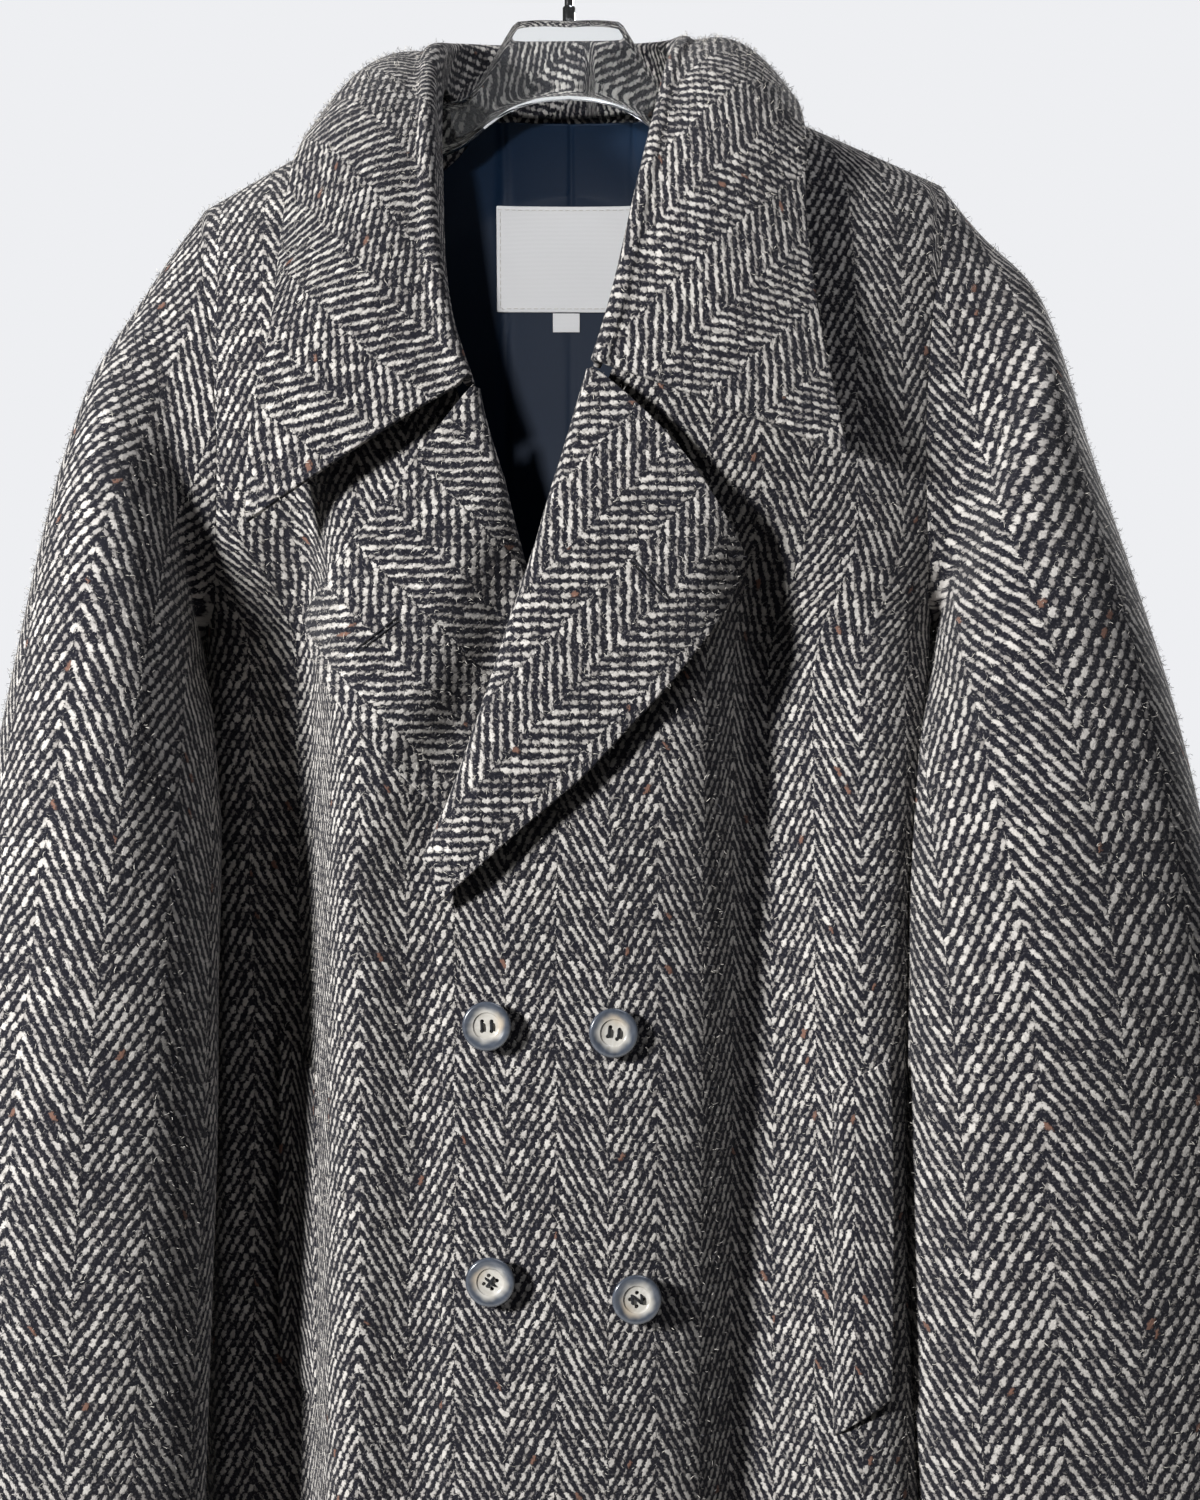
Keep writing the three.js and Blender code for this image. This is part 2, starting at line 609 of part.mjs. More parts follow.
// Lapel: rows along the roll line, columns from inside the neck over the roll to the edge
function lapelGrid(rows, side) {
  return rows.map((row, index) => {
    const before = rows[Math.max(0, index - 1)];
    const after = rows[Math.min(rows.length - 1, index + 1)];
    const rollWay = v(after.rollX - before.rollX, 0, after.rollZ - before.rollZ).normalize();
    const away = v(rollWay.z, 0, -rollWay.x).multiplyScalar(side.sign);
    const edgeWay = v(row.edgeX - row.rollX, 0, row.edgeZ - row.rollZ);
    const length = edgeWay.length();
    const across = edgeWay.clone().normalize();
    const lift = smooth(length / 50);
    const sideWay = v(-across.z, 0, across.x).multiplyScalar(side.sign);
    return LAPEL_SECTION.map((section) => {
      const bow = row.swell * Math.sin(Math.PI * section.share);
      const x = row.rollX + edgeWay.x * section.share + away.x * section.past + sideWay.x * bow;
      const z = row.rollZ + edgeWay.z * section.share + away.z * section.past + sideWay.z * bow;
      const off = section.off > 0 ? section.off * (0.62 + 0.38 * lift) : section.off;
      if (side.sign > 0) return v(x, surfaceY('front', row.rollX + edgeWay.x * section.share, z) - off, z);
      const under = insetOf(x, z);
      const pressed = smooth(under / LAPEL_INSET);
      const lower = Math.min(off, off * (1 - pressed) + 10.2 * pressed);
      return v(x, surfaceY('front', x, z) + under - lower, z);
    });
  });
}

// Collar: columns from the foot of the stand up, round the fold and down to the outer edge
function collarGrid() {
  return COLLAR.map((row) => {
    const fold = v(row.foldX, row.foldY, row.foldZ);
    const foot = v(row.footX, row.footY, row.footZ);
    const edge = v(row.edgeX, row.edgeY, row.edgeZ);
    const stand = foot.clone().sub(fold).normalize();
    const leaf = edge.clone().sub(fold).normalize();
    const up = stand.clone().add(leaf).normalize().negate();
    const inward = stand.clone().addScaledVector(up, -stand.dot(up)).normalize();
    const centre = fold.clone().addScaledVector(up, -FOLD_RADIUS);
    const ring = [];
    for (const degrees of [0, 45, 90, 135, 180]) {
      const angle = (degrees * Math.PI) / 180;
      ring.push(centre.clone()
        .addScaledVector(inward, FOLD_RADIUS * Math.cos(angle))
        .addScaledVector(up, FOLD_RADIUS * Math.sin(angle)));
    }
    const inside = ring[0];
    ring.unshift(foot, foot.clone().lerp(inside, 0.5));
    const start = ring[ring.length - 1].clone();
    const fall = edge.clone().sub(start);
    const out = up.clone().addScaledVector(leaf, -up.dot(leaf)).normalize();
    for (const share of [0.25, 0.5, 0.75, 1]) {
      const bow = row.swell * Math.sin(Math.PI * share ** 0.8);
      ring.push(start.clone().addScaledVector(fall, share).addScaledVector(out, bow));
    }
    return ring;
  });
}

// Welt on a front, made from the points of the panel and moved out
function weltWall(side, corners) {
  const grid = [];
  for (let i = 0; i <= 6; i += 1) {
    const row = [];
    for (let j = 0; j <= 4; j += 1) {
      const a = j / 4;
      const x = corners.inX + (corners.outX - corners.inX) * a;
      const top = corners.inTop + (corners.outTop - corners.inTop) * a;
      const bottom = corners.inBottom + (corners.outBottom - corners.inBottom) * a;
      const z = top + (bottom - top) * (i / 6);
      row.push(v(x, surfaceY('front', x, z), z));
    }
    grid.push(row);
  }
  const out = [];
  for (let i = 0; i <= 6; i += 1) {
    out.push(grid[i].map((p, j) => {
      const up = grid[Math.max(0, i - 1)][j];
      const down = grid[Math.min(6, i + 1)][j];
      const a = grid[i][Math.max(0, j - 1)];
      const b = grid[i][Math.min(4, j + 1)];
      const normal = b.clone().sub(a).cross(down.clone().sub(up)).normalize();
      if (normal.y > 0) normal.negate();
      return p.clone().addScaledVector(normal, WELT_CLOTH + SEAM_GAP + 1);
    }));
  }
  return wall(out, WELT_CLOTH, { flip: side.sign > 0 });
}

// Turned button facing out of the front where it is sewn
function buttonSolid(x, z) {
  const step = 4;
  const y = surfaceY('front', x, z);
  const acrossWay = v(step * 2, surfaceY('front', x + step, z) - surfaceY('front', x - step, z), 0);
  const upWay = v(0, surfaceY('front', x, z + step) - surfaceY('front', x, z - step), step * 2);
  const out = acrossWay.cross(upWay).normalize();
  if (out.y > 0) out.negate();
  const profile = BUTTON_PROFILE.map((p) => new THREE.Vector2(p.r, p.z));
  const geometry = lathe(profile, 24);
  const turn = new THREE.Quaternion().setFromUnitVectors(v(0, 0, 1), out);
  geometry.applyQuaternion(turn);
  geometry.translate(x + out.x * BUTTON_SHANK, y + out.y * BUTTON_SHANK, z + out.z * BUTTON_SHANK);
  return geometry;
}

// Closed solid of revolution about Z; the profile starts and ends on the axis
function lathe(profile, around) {
  const points = [v(0, 0, profile[0].y)];
  const faces = [];
  const rings = profile.slice(1, -1);
  rings.forEach((p) => {
    for (let k = 0; k < around; k += 1) {
      const angle = (k / around) * Math.PI * 2;
      points.push(v(p.x * Math.cos(angle), p.x * Math.sin(angle), p.y));
    }
  });
  points.push(v(0, 0, profile[profile.length - 1].y));
  const end = points.length - 1;
  const at = (ring, k) => 1 + ring * around + (k % around);
  for (let k = 0; k < around; k += 1) {
    faces.push([0, at(0, k + 1), at(0, k)]);
    for (let r = 0; r < rings.length - 1; r += 1) {
      faces.push([at(r, k), at(r, k + 1), at(r + 1, k + 1)], [at(r, k), at(r + 1, k + 1), at(r + 1, k)]);
    }
    faces.push([end, at(rings.length - 1, k), at(rings.length - 1, k + 1)]);
  }
  return solid(points, faces);
}

// Hanger: sections from one tip to the other, with rounded corners
function hangerSolid() {
  const stations = [];
  for (let i = HANGER.length - 1; i > 0; i -= 1) stations.push({ ...HANGER[i], x: -HANGER[i].x });
  stations.push(...HANGER);
  const corner = 0.35;
  const points = [];
  const around = 8;
  for (const s of stations) {
    const cut = s.half * corner * 1.4;
    const outline = [
      [-s.half, s.top - cut], [-s.half + cut, s.top], [s.half - cut, s.top], [s.half, s.top - cut],
      [s.half, s.bottom + cut], [s.half - cut, s.bottom], [-s.half + cut, s.bottom], [-s.half, s.bottom + cut],
    ];
    for (const [y, z] of outline) points.push(v(s.x, HANGER_Y + y, z));
  }
  const faces = [];
  const at = (i, k) => i * around + (k % around);
  for (let i = 0; i < stations.length - 1; i += 1) {
    for (let k = 0; k < around; k += 1) {
      faces.push([at(i, k), at(i + 1, k), at(i + 1, k + 1)], [at(i, k), at(i + 1, k + 1), at(i, k + 1)]);
    }
  }
  const last = stations.length - 1;
  for (let k = 1; k < around - 1; k += 1) {
    faces.push([at(0, 0), at(0, k), at(0, k + 1)]);
    faces.push([at(last, 0), at(last, k + 1), at(last, k)]);
  }
  return solid(points, faces);
}

// Hook: bent wire over a stem, with a ferrule at its foot
function hookSolid() {
  const path = [];
  const y = HANGER_Y - 5;
  const centre = -HOOK_RADIUS;
  const reach = HOOK_RADIUS + HOOK_WIRE;
  for (let i = 0; i <= 16; i += 1) {
    const angle = (-30 + (i / 16) * 210) * (Math.PI / 180);
    path.push(v(-reach * Math.cos(angle), y, centre + reach * Math.sin(angle)));
  }
  path.push(v(reach - 1, y, -34));
  path.push(v(reach - 9, y + 1.5, -43));
  path.push(v(6, y + 3.5, -50));
  path.push(v(1, y + 5, -57));
  path.push(v(0.5, y + 5, -66));
  const radii = path.map(() => HOOK_WIRE);
  const stem = [
    { z: -67.2, r: HOOK_WIRE },
    { z: -67.8, r: FERRULE_RADIUS },
    { z: -76.5, r: FERRULE_RADIUS },
  ];
  for (const s of stem) {
    path.push(v(0.5, y + 5, s.z));
    radii.push(s.r);
  }
  return rod(path, radii, 12);
}

// Round rod along a path, with its own radius at each point
function rod(path, radii, around) {
  const points = [];
  const faces = [];
  let side = v(0, 1, 0);
  path.forEach((p, i) => {
    const way = path[Math.min(path.length - 1, i + 1)].clone().sub(path[Math.max(0, i - 1)]).normalize();
    side = side.clone().addScaledVector(way, -side.dot(way)).normalize();
    const other = way.clone().cross(side);
    for (let k = 0; k < around; k += 1) {
      const angle = (k / around) * Math.PI * 2;
      points.push(p.clone()
        .addScaledVector(side, radii[i] * Math.cos(angle))
        .addScaledVector(other, radii[i] * Math.sin(angle)));
    }
  });
  const at = (i, k) => i * around + (k % around);
  const last = path.length - 1;
  for (let i = 0; i < last; i += 1) {
    for (let k = 0; k < around; k += 1) {
      faces.push([at(i, k), at(i, k + 1), at(i + 1, k + 1)], [at(i, k), at(i + 1, k + 1), at(i + 1, k)]);
    }
  }
  for (let k = 1; k < around - 1; k += 1) {
    faces.push([at(0, 0), at(0, k + 1), at(0, k)]);
    faces.push([at(last, 0), at(last, k), at(last, k + 1)]);
  }
  return solid(points, faces);
}

// Lining hangs just inside the back
function liningY(x, z, inset) {
  const clear = 20 * smooth((-300 - z) / 260);
  return surfaceY('back', x, z, true) - COAT_CLOTH - inset - clear;
}

function liningWall() {
  const grid = [];
  const levels = [];
  LINING.forEach((row, i) => {
    levels.push(row.z);
    if (i < LINING.length - 1 && i > 3) levels.push((row.z + LINING[i + 1].z) / 2);
  });
  for (const z of levels) {
    const row = [];
    const left = read(LINING, 'z', z, 'left');
    const right = read(LINING, 'z', z, 'right');
    for (let j = 0; j <= 14; j += 1) {
      const x = -right + (left + right) * (j / 14);
      row.push(v(x, liningY(x, z, 5), z));
    }
    grid.push(row);
  }
  return wall(grid, LINING_CLOTH, { flip: true });
}

// Flat piece lying on the lining
function patch(x, top, width, height, off, thick) {
  const grid = [];
  for (let i = 0; i <= 4; i += 1) {
    const row = [];
    for (let j = 0; j <= 5; j += 1) {
      const px = x - width / 2 + width * (j / 5);
      const pz = top - height * (i / 4);
      row.push(v(px, liningY(px, pz, 5) - off, pz));
    }
    grid.push(row);
  }
  return wall(grid, thick, { flip: true });
}

const group = new THREE.Group();

function add(name, geometry, colour, gloss = {}) {
  const material = new THREE.MeshStandardMaterial({ color: colour, roughness: 0.9, ...gloss });
  const mesh = new THREE.Mesh(geometry, material);
  mesh.name = name;
  group.add(mesh);
}

const { left, right } = SIDES;
add('front_left', bodyPanel(left, 'front', LEFT_OPENING), COLOURS.tweed);
add('front_right', bodyPanel(right, 'front', RIGHT_OPENING), COLOURS.tweed);
add('back_left', bodyPanel(left, 'back', null), COLOURS.tweed);
add('back_right', bodyPanel(right, 'back', null), COLOURS.tweed);

for (const [name, side, table] of [['left', left, SLEEVE_LEFT], ['right', right, SLEEVE_RIGHT]]) {
  const rings = sleeveRings(side, table);
  add(`sleeve_${name}_top`, sleevePart(side, rings, FRONT_SEAM, BACK_SEAM), COLOURS.tweed);
  add(`sleeve_${name}_under`, sleevePart(side, rings, BACK_SEAM, FRONT_SEAM + ARM_ROWS * 2), COLOURS.tweed);
}

add('collar', wall(collarGrid(), TURNED_CLOTH, {}), COLOURS.tweed);
add('lapel_left', wall(lapelGrid(LAPEL_LEFT, left), TURNED_CLOTH, { flip: true }), COLOURS.tweed);
add('lapel_right', wall(lapelGrid(LAPEL_RIGHT, right), TURNED_CLOTH, {}), COLOURS.tweed);
add('welt_left', weltWall(left, WELTS.left), COLOURS.tweed);
add('welt_right', weltWall(right, WELTS.right), COLOURS.tweed);

add('lining', liningWall(), COLOURS.lining, { roughness: 0.5 });
add('label', patch(LABEL.x, LABEL.top, LABEL.width, LABEL.height, 1.7, LABEL_CLOTH), COLOURS.label);
const tabTop = LABEL.top - LABEL.height - 0.5;
add('size_tab', patch(SIZE_TAB.x, tabTop, SIZE_TAB.width, SIZE_TAB.height, 1.7, LABEL_CLOTH), COLOURS.label);

for (const button of BUTTONS) {
  add(button.name, buttonSolid(button.x, button.z), COLOURS.horn, { roughness: 0.3 });
}

add('hanger', hangerSolid(), COLOURS.acrylic, { roughness: 0.05, transparent: true, opacity: 0.4 });
add('hanger_hook', hookSolid(), COLOURS.chrome, { roughness: 0.15, metalness: 1 });

export default group;
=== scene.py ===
# Double breasted herringbone wool overcoat on a clear hanger, hung by its hook.
# Metres in Blender; the tables are in millimetres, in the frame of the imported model.
# Left and right are the wearer's, so the left front is at +X and laps over the right one.
import math

import bmesh
import bpy
import numpy as np
from mathutils import Matrix, Vector


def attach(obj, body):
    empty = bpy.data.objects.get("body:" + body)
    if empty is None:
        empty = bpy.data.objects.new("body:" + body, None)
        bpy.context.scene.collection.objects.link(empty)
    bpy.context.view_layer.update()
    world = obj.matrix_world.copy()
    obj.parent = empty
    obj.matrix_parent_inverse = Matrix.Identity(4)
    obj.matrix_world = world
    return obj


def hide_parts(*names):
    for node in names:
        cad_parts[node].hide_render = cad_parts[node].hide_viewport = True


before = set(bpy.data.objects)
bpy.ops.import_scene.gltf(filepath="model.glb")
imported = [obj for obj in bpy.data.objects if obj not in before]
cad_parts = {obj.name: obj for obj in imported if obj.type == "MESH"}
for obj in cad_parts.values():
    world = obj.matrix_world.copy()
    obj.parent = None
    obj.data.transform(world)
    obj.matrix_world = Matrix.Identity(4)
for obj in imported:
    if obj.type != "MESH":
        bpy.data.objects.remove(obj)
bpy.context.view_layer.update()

scene = bpy.context.scene


# Hanger: moulded in one piece from clear acrylic, with a flat topped neck that flares into
# sloping arms, an arched lower edge and softly rounded corners. It carries the whole coat
# along its arms, which lie under the shoulder seams.
def table(names, *rows):
    """Rows of numbers under named columns."""
    keys = names.split()
    return {key: np.array([row[i] for row in rows], float) for i, key in enumerate(keys)}


def read(rows, key, at, name):
    """Smooth value of one column at places along another."""
    order = np.argsort(rows[key])
    xs, ys = rows[key][order], rows[name][order]
    slope = np.diff(ys) / np.diff(xs)
    tangent = np.concatenate([slope[:1], slope[:-1], slope[-1:]])[: len(ys)]
    a, b = slope[:-1], slope[1:]
    both = a + b
    tangent[0], tangent[-1] = slope[0], slope[-1]
    tangent[1:-1] = np.where(a * b > 0, 2 * a * b / np.where(both == 0, 1, both), 0)
    at = np.clip(np.asarray(at, float), xs[0], xs[-1])
    i = np.clip(np.searchsorted(xs, at, side="right") - 1, 0, len(xs) - 2)
    wide = xs[i + 1] - xs[i]
    t = (at - xs[i]) / wide
    return (ys[i] * (2 * t**3 - 3 * t**2 + 1) + tangent[i] * wide * (t**3 - 2 * t**2 + t)
            + ys[i + 1] * (3 * t**2 - 2 * t**3) + tangent[i + 1] * wide * (t**3 - t**2))


def linked(name, data):
    """A new object in the scene, at the origin."""
    obj = bpy.data.objects.new(name, data)
    scene.collection.objects.link(obj)
    return obj


def linear(code):
    """Colour of a six digit sRGB code, in linear light."""
    parts = [int(code[i:i + 2], 16) / 255 for i in (1, 3, 5)]
    return [c / 12.92 if c <= 0.04045 else ((c + 0.055) / 1.055) ** 2.4 for c in parts] + [1]


def node(tree, kind, inputs=None, **settings):
    """Adds a shader or geometry node; inputs are values or the outputs that feed them."""
    made = tree.nodes.new(kind)
    for key, value in settings.items():
        setattr(made, key, value)
    for key, value in (inputs or {}).items():
        socket = made.inputs[key]
        if isinstance(value, bpy.types.NodeSocket):
            tree.links.new(value, socket)
        else:
            socket.default_value = value
    return made


def mix_colour(tree, share, a, b):
    """Colour between two others, by a share from 0 to 1."""
    return node(tree, "ShaderNodeMix", {0: share, 6: a, 7: b}, data_type="RGBA").outputs[2]


def new_material(name):
    """An empty material with a principled shader; returns it, its tree and the shader."""
    material = bpy.data.materials.new(name)
    material.use_nodes = True
    tree = material.node_tree
    return material, tree, tree.nodes["Principled BSDF"]


def acrylic(name):
    """Clear acrylic: water clear, a little grey, polished, with faint moulding waves 45 mm long."""
    material, tree, shader = new_material(name)
    place = node(tree, "ShaderNodeTexCoord").outputs["Object"]
    wave = node(tree, "ShaderNodeTexNoise", {"Vector": place, "Scale": 22.0, "Detail": 1.0}).outputs[0]
    bump = node(tree, "ShaderNodeBump", {"Height": wave, "Distance": 0.002, "Strength": 0.15})
    tree.links.new(bump.outputs[0], shader.inputs["Normal"])
    tree.links.new(mix_colour(tree, wave, linear("#eef1f1"), linear("#fbfcfc")), shader.inputs["Base Color"])
    shader.inputs["Transmission Weight"].default_value = 1.0
    shader.inputs["Roughness"].default_value = 0.03
    shader.inputs["IOR"].default_value = 1.49
    return material


# The upright plane of the shoulder and side seams, in which the hanger lies
SEAM_Y = 5
HANGER = table("x top bottom half", (0, -77, -121, 5.5), (14, -76.5, -122, 5.5), (29, -77.5, -126, 5.5),
               (34, -84, -128, 5.5), (47, -106, -137, 5.5), (60, -122, -148, 6), (82, -126, -157, 6.5),
               (120, -143, -170, 7), (160, -165, -188, 7), (188, -181, -202, 6.5), (197, -189, -203, 4))
HANGER_HALF = 197
stations = np.concatenate([-np.linspace(HANGER_HALF, 0, 70), np.linspace(0, HANGER_HALF, 70)[1:]])
far = np.abs(stations)
top, bottom, half = (read(HANGER, "x", far, key) for key in ("top", "bottom", "half"))
ring = []
for a in np.linspace(0, 2 * math.pi, 32, endpoint=False):
    ca, sa = math.cos(a), math.sin(a)
    wide = np.sign(ca) * abs(ca) ** 0.45 * half
    tall = np.sign(sa) * abs(sa) ** (0.25 if sa > 0 else 0.3)
    middle, reach = (top + bottom) / 2, (top - bottom) / 2
    ring.append(np.stack([stations, SEAM_Y + wide, middle + reach * tall], -1))
points = np.stack(ring, 1)
n, m = points.shape[:2]
at = np.arange(n * m).reshape(n, m)
nxt = np.roll(at, -1, 1)
quads = np.stack([at[:-1], nxt[:-1], nxt[1:], at[1:]], -1).reshape(-1, 4).tolist()
mesh = bpy.data.meshes.new("hanger_arms")
mesh.from_pydata((points.reshape(-1, 3) / 1000).tolist(), [], quads + [at[0, ::-1].tolist(), at[-1].tolist()])
work = bmesh.new()
work.from_mesh(mesh)
bmesh.ops.recalc_face_normals(work, faces=work.faces)
work.to_mesh(mesh)
work.free()
mesh.polygons.foreach_set("use_smooth", [True] * len(mesh.polygons))
mesh.materials.append(acrylic("clear acrylic"))
hanger = linked("hanger_clear", mesh)
hanger.data.set_sharp_from_angle(angle=math.radians(60))
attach(hanger, "root")
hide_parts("hanger")


# Hook: a round steel wire, bent to go over a rail and chromed. Its stem stands on the flat
# top of the hanger in a short turned ferrule.
HOOK_WIRE = 2.5
HOOK_RADIUS = 24
FERRULE = table("r z", (0, -76.6), (3.0, -76.6), (3.6, -76.2), (3.6, -69.2), (3.2, -68.4), (2.6, -68),
                (0, -68))


def refine(points, count, axis=0):
    """Points along one axis of a grid, passed through smoothly at a new spacing."""
    p = np.moveaxis(np.asarray(points, float), axis, 0)
    n = len(p)
    s = np.linspace(0, n - 1, count)
    i = np.clip(np.floor(s).astype(int), 0, n - 2)
    t = (s - i).reshape((-1,) + (1,) * (p.ndim - 1))
    before, after = np.clip(i - 1, 0, n - 1), np.clip(i + 2, 0, n - 1)
    a, b = p[i], p[i + 1]
    ta, tb = (b - p[before]) / 2, (p[after] - a) / 2
    out = (a * (2 * t**3 - 3 * t**2 + 1) + ta * (t**3 - 2 * t**2 + t)
           + b * (3 * t**2 - 2 * t**3) + tb * (t**3 - t**2))
    return np.moveaxis(out, 0, axis)


def chrome(name):
    """Polished chrome plate: bright, its gleam broken by scratches 1.4 mm wide.

    Real ones are finer and would not show."""
    material, tree, shader = new_material(name)
    place = node(tree, "ShaderNodeTexCoord").outputs["Object"]
    scratch = node(tree, "ShaderNodeTexNoise", {"Vector": place, "Scale": 700.0, "Detail": 3.0}).outputs[0]
    rough = node(tree, "ShaderNodeMapRange", {0: scratch, 3: 0.06, 4: 0.18}).outputs[0]
    tree.links.new(rough, shader.inputs["Roughness"])
    shader.inputs["Base Color"].default_value = linear("#d2d4d7")
    shader.inputs["Metallic"].default_value = 1.0
    return material


def add_path(curve, path):
    """Adds a line through places in metres to a curve."""
    spline = curve.splines.new("POLY")
    spline.points.add(len(path) - 1)
    for point, place in zip(spline.points, path):
        point.co = (*place, 1)


def plain_mesh(obj):
    """The object as it looks with its modifiers or its bevel, as a mesh of its own."""
    graph = bpy.context.evaluated_depsgraph_get()
    return bpy.data.meshes.new_from_object(obj.evaluated_get(graph))


def wire_mesh(name, curve, radius, rounds):
    """Mesh of a round wire or thread along a curve, its radius in millimetres."""
    curve.dimensions = "3D"
    curve.bevel_depth = radius / 1000
    curve.bevel_resolution = rounds
    drawn = linked(name, curve)
    mesh = plain_mesh(drawn)
    bpy.data.objects.remove(drawn)
    return mesh


def turned_round(work, profile, centre, steps, nearest):
    """Spins a profile of radius and height in millimetres about an upright line."""
    verts = [work.verts.new((r / 1000 + centre[0], centre[1], z / 1000)) for r, z in profile]
    edges = [work.edges.new(pair) for pair in zip(verts[:-1], verts[1:])]
    bmesh.ops.spin(work, geom=verts + edges, axis=(0, 0, 1), cent=(*centre, 0), angle=2 * math.pi,
                   steps=steps, use_merge=True)
    bmesh.ops.remove_doubles(work, verts=work.verts, dist=nearest)
    bmesh.ops.recalc_face_normals(work, faces=work.faces)


reach = HOOK_RADIUS + HOOK_WIRE
path = []
for i in range(17):
    a = math.radians(-30 + i / 16 * 210)
    path.append((-reach * math.cos(a), 0, -HOOK_RADIUS + reach * math.sin(a)))
path += [(reach - 1, 0, -34), (reach - 9, 1.5, -43), (6, 3.5, -50), (1, 5, -57), (0.5, 5, -66), (0.5, 5, -76)]
path = refine(np.array(path), 120)
curve = bpy.data.curves.new("hook", "CURVE")
curve.use_fill_caps = True
add_path(curve, [Vector(spot) / 1000 for spot in path])
mesh = wire_mesh("hook_path", curve, HOOK_WIRE, 7)
work = bmesh.new()
work.from_mesh(mesh)
turned_round(work, zip(FERRULE["r"], FERRULE["z"]), (0.0005, 0.005), 40, 1e-7)
work.to_mesh(mesh)
work.free()
mesh.polygons.foreach_set("use_smooth", [True] * len(mesh.polygons))
mesh.materials.clear()
mesh.materials.append(chrome("polished chrome"))
hook = linked("hook_chrome", mesh)
hook.data.set_sharp_from_angle(angle=math.radians(35))
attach(hook, "root")
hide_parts("hanger_hook")


# Back: two halves of heavy wool tweed joined by an upright centre seam, plain, with no vent.
# They hang from the shoulder seams, turn round at the sides and fall in three broad soft
# folds to the hem. The tables give the form of the whole hanging body, fronts as well.
FULL = {"front": 128, "back": 112}
NECK_HALF = 78
NECK_Z = -114
HEM_Z = -1240
ARMPIT_Z = -430
SLOPE = {1: 0.43, -1: 0.56}
WIDTH = {
    1: table("z half power", (-1240, 232, 3.8), (-1060, 208, 5.2), (-900, 194, 6.4), (-700, 188, 6.8),
             (-560, 189, 6.6), (-520, 196, 5.6), (-480, 202, 4.6), (-430, 204, 3.6), (-380, 218, 3.2),
             (-300, 232, 3), (-110, 246, 3)),
    -1: table("z half power", (-1240, 237, 2.6), (-1060, 216, 2.6), (-900, 206, 2.7), (-700, 201, 2.8),
              (-560, 199, 3.2), (-480, 204, 3.8), (-430, 203.5, 3.4), (-380, 216, 3.1), (-300, 230, 3),
              (-110, 246, 3)),
}
COAT_CLOTH = 3
SEAM_OVERLAP = 0.35
ARMHOLE = {
    1: table("rise x", (0, 204), (0.08, 197), (0.4, 195), (0.65, 199), (0.85, 207), (1, 211)),
    -1: table("rise x", (0, 203), (0.08, 193), (0.4, 190), (0.65, 194), (0.85, 202), (1, 205)),
}
FOLDS = {
    "front": table("x_top x_bottom z_top full deep inner outer",
                   (106, 84, -335, 120, 43, 20, 42), (-74, -92, -540, 120, 9, 20, 22),
                   (-143, -147, -300, 150, 57, 15, 40), (-20, 6, -900, 200, 10, 34, 34)),
    "back": table("x_top x_bottom z_top full deep inner outer",
                  (70, 104, -330, 260, 24, 24, 38), (-76, -96, -360, 240, 22, 24, 36),
                  (10, -6, -640, 300, 16, 30, 30)),
}


def each_row(rows):
    """The rows of a table one by one, each as its named values."""
    return [dict(zip(rows, values)) for values in zip(*rows.values())]


def ease(t):
    """From 0 to 1, soft at both ends."""
    t = np.clip(t, 0, 1)
    return t * t * (3 - 2 * t)


def lengths(points, axis):
    """Distance run along one axis of a grid, from its first point."""
    step = np.linalg.norm(np.diff(points, axis=axis), axis=-1)
    run = np.cumsum(step, axis=axis)
    return np.concatenate([np.zeros_like(np.take(run, [0], axis)), run], axis=axis)


def baked(obj):
    """The object with its modifiers worked in."""
    mesh = plain_mesh(obj)
    obj.modifiers.clear()
    obj.data = mesh
    return obj


def grid_mesh(name, points, uv, flip=False):
    """Quad mesh through a grid of points in millimetres, with its grain as UV in metres."""
    n, m = points.shape[:2]
    at = np.arange(n * m).reshape(n, m)
    quads = np.stack([at[:-1, :-1], at[:-1, 1:], at[1:, 1:], at[1:, :-1]], -1).reshape(-1, 4)
    if flip:
        quads = quads[:, ::-1]
    mesh = bpy.data.meshes.new(name)
    mesh.from_pydata((points.reshape(-1, 3) / 1000).tolist(), [], quads.tolist())
    layer = mesh.uv_layers.new(name="grain")
    layer.data.foreach_set("uv", (uv.reshape(-1, 2) / 1000)[quads.reshape(-1)].ravel())
    mesh.polygons.foreach_set("use_smooth", [True] * len(quads))
    return mesh


def held_edges(points, uv, reach=1.3):
    """Adds a line of points close inside each edge, so that rounding leaves the edge in place."""
    def share(steps):
        return min(0.5, reach / np.mean(np.linalg.norm(steps, axis=-1)))

    for axis in (0, 1):
        grids = [np.moveaxis(grid, axis, 0) for grid in (points, uv)]
        first = share(grids[0][1] - grids[0][0])
        last = share(grids[0][-1] - grids[0][-2])
        held = []
        for grid in grids:
            after = grid[:1] + (grid[1:2] - grid[:1]) * first
            before = grid[-1:] + (grid[-2:-1] - grid[-1:]) * last
            grid = np.concatenate([grid[:1], after, grid[1:-1], before, grid[-1:]])
            held.append(np.moveaxis(grid, 0, axis))
        points, uv = held
    return points, uv


def cloth(name, points, uv, thick, material, flip=False, rounds=1):
    """Closed shell of cloth: the grid is its face, the wall lies behind it, the rim is rounded."""
    points, uv = held_edges(points, uv)
    obj = linked(name, grid_mesh(name, points, uv, flip))
    shell = obj.modifiers.new("wall", "SOLIDIFY")
    shell.thickness = thick / 1000
    shell.offset = -1
    soft = obj.modifiers.new("round", "SUBSURF")
    soft.levels = soft.render_levels = rounds
    baked(obj)
    obj.data.materials.clear()
    obj.data.materials.append(material)
    return obj


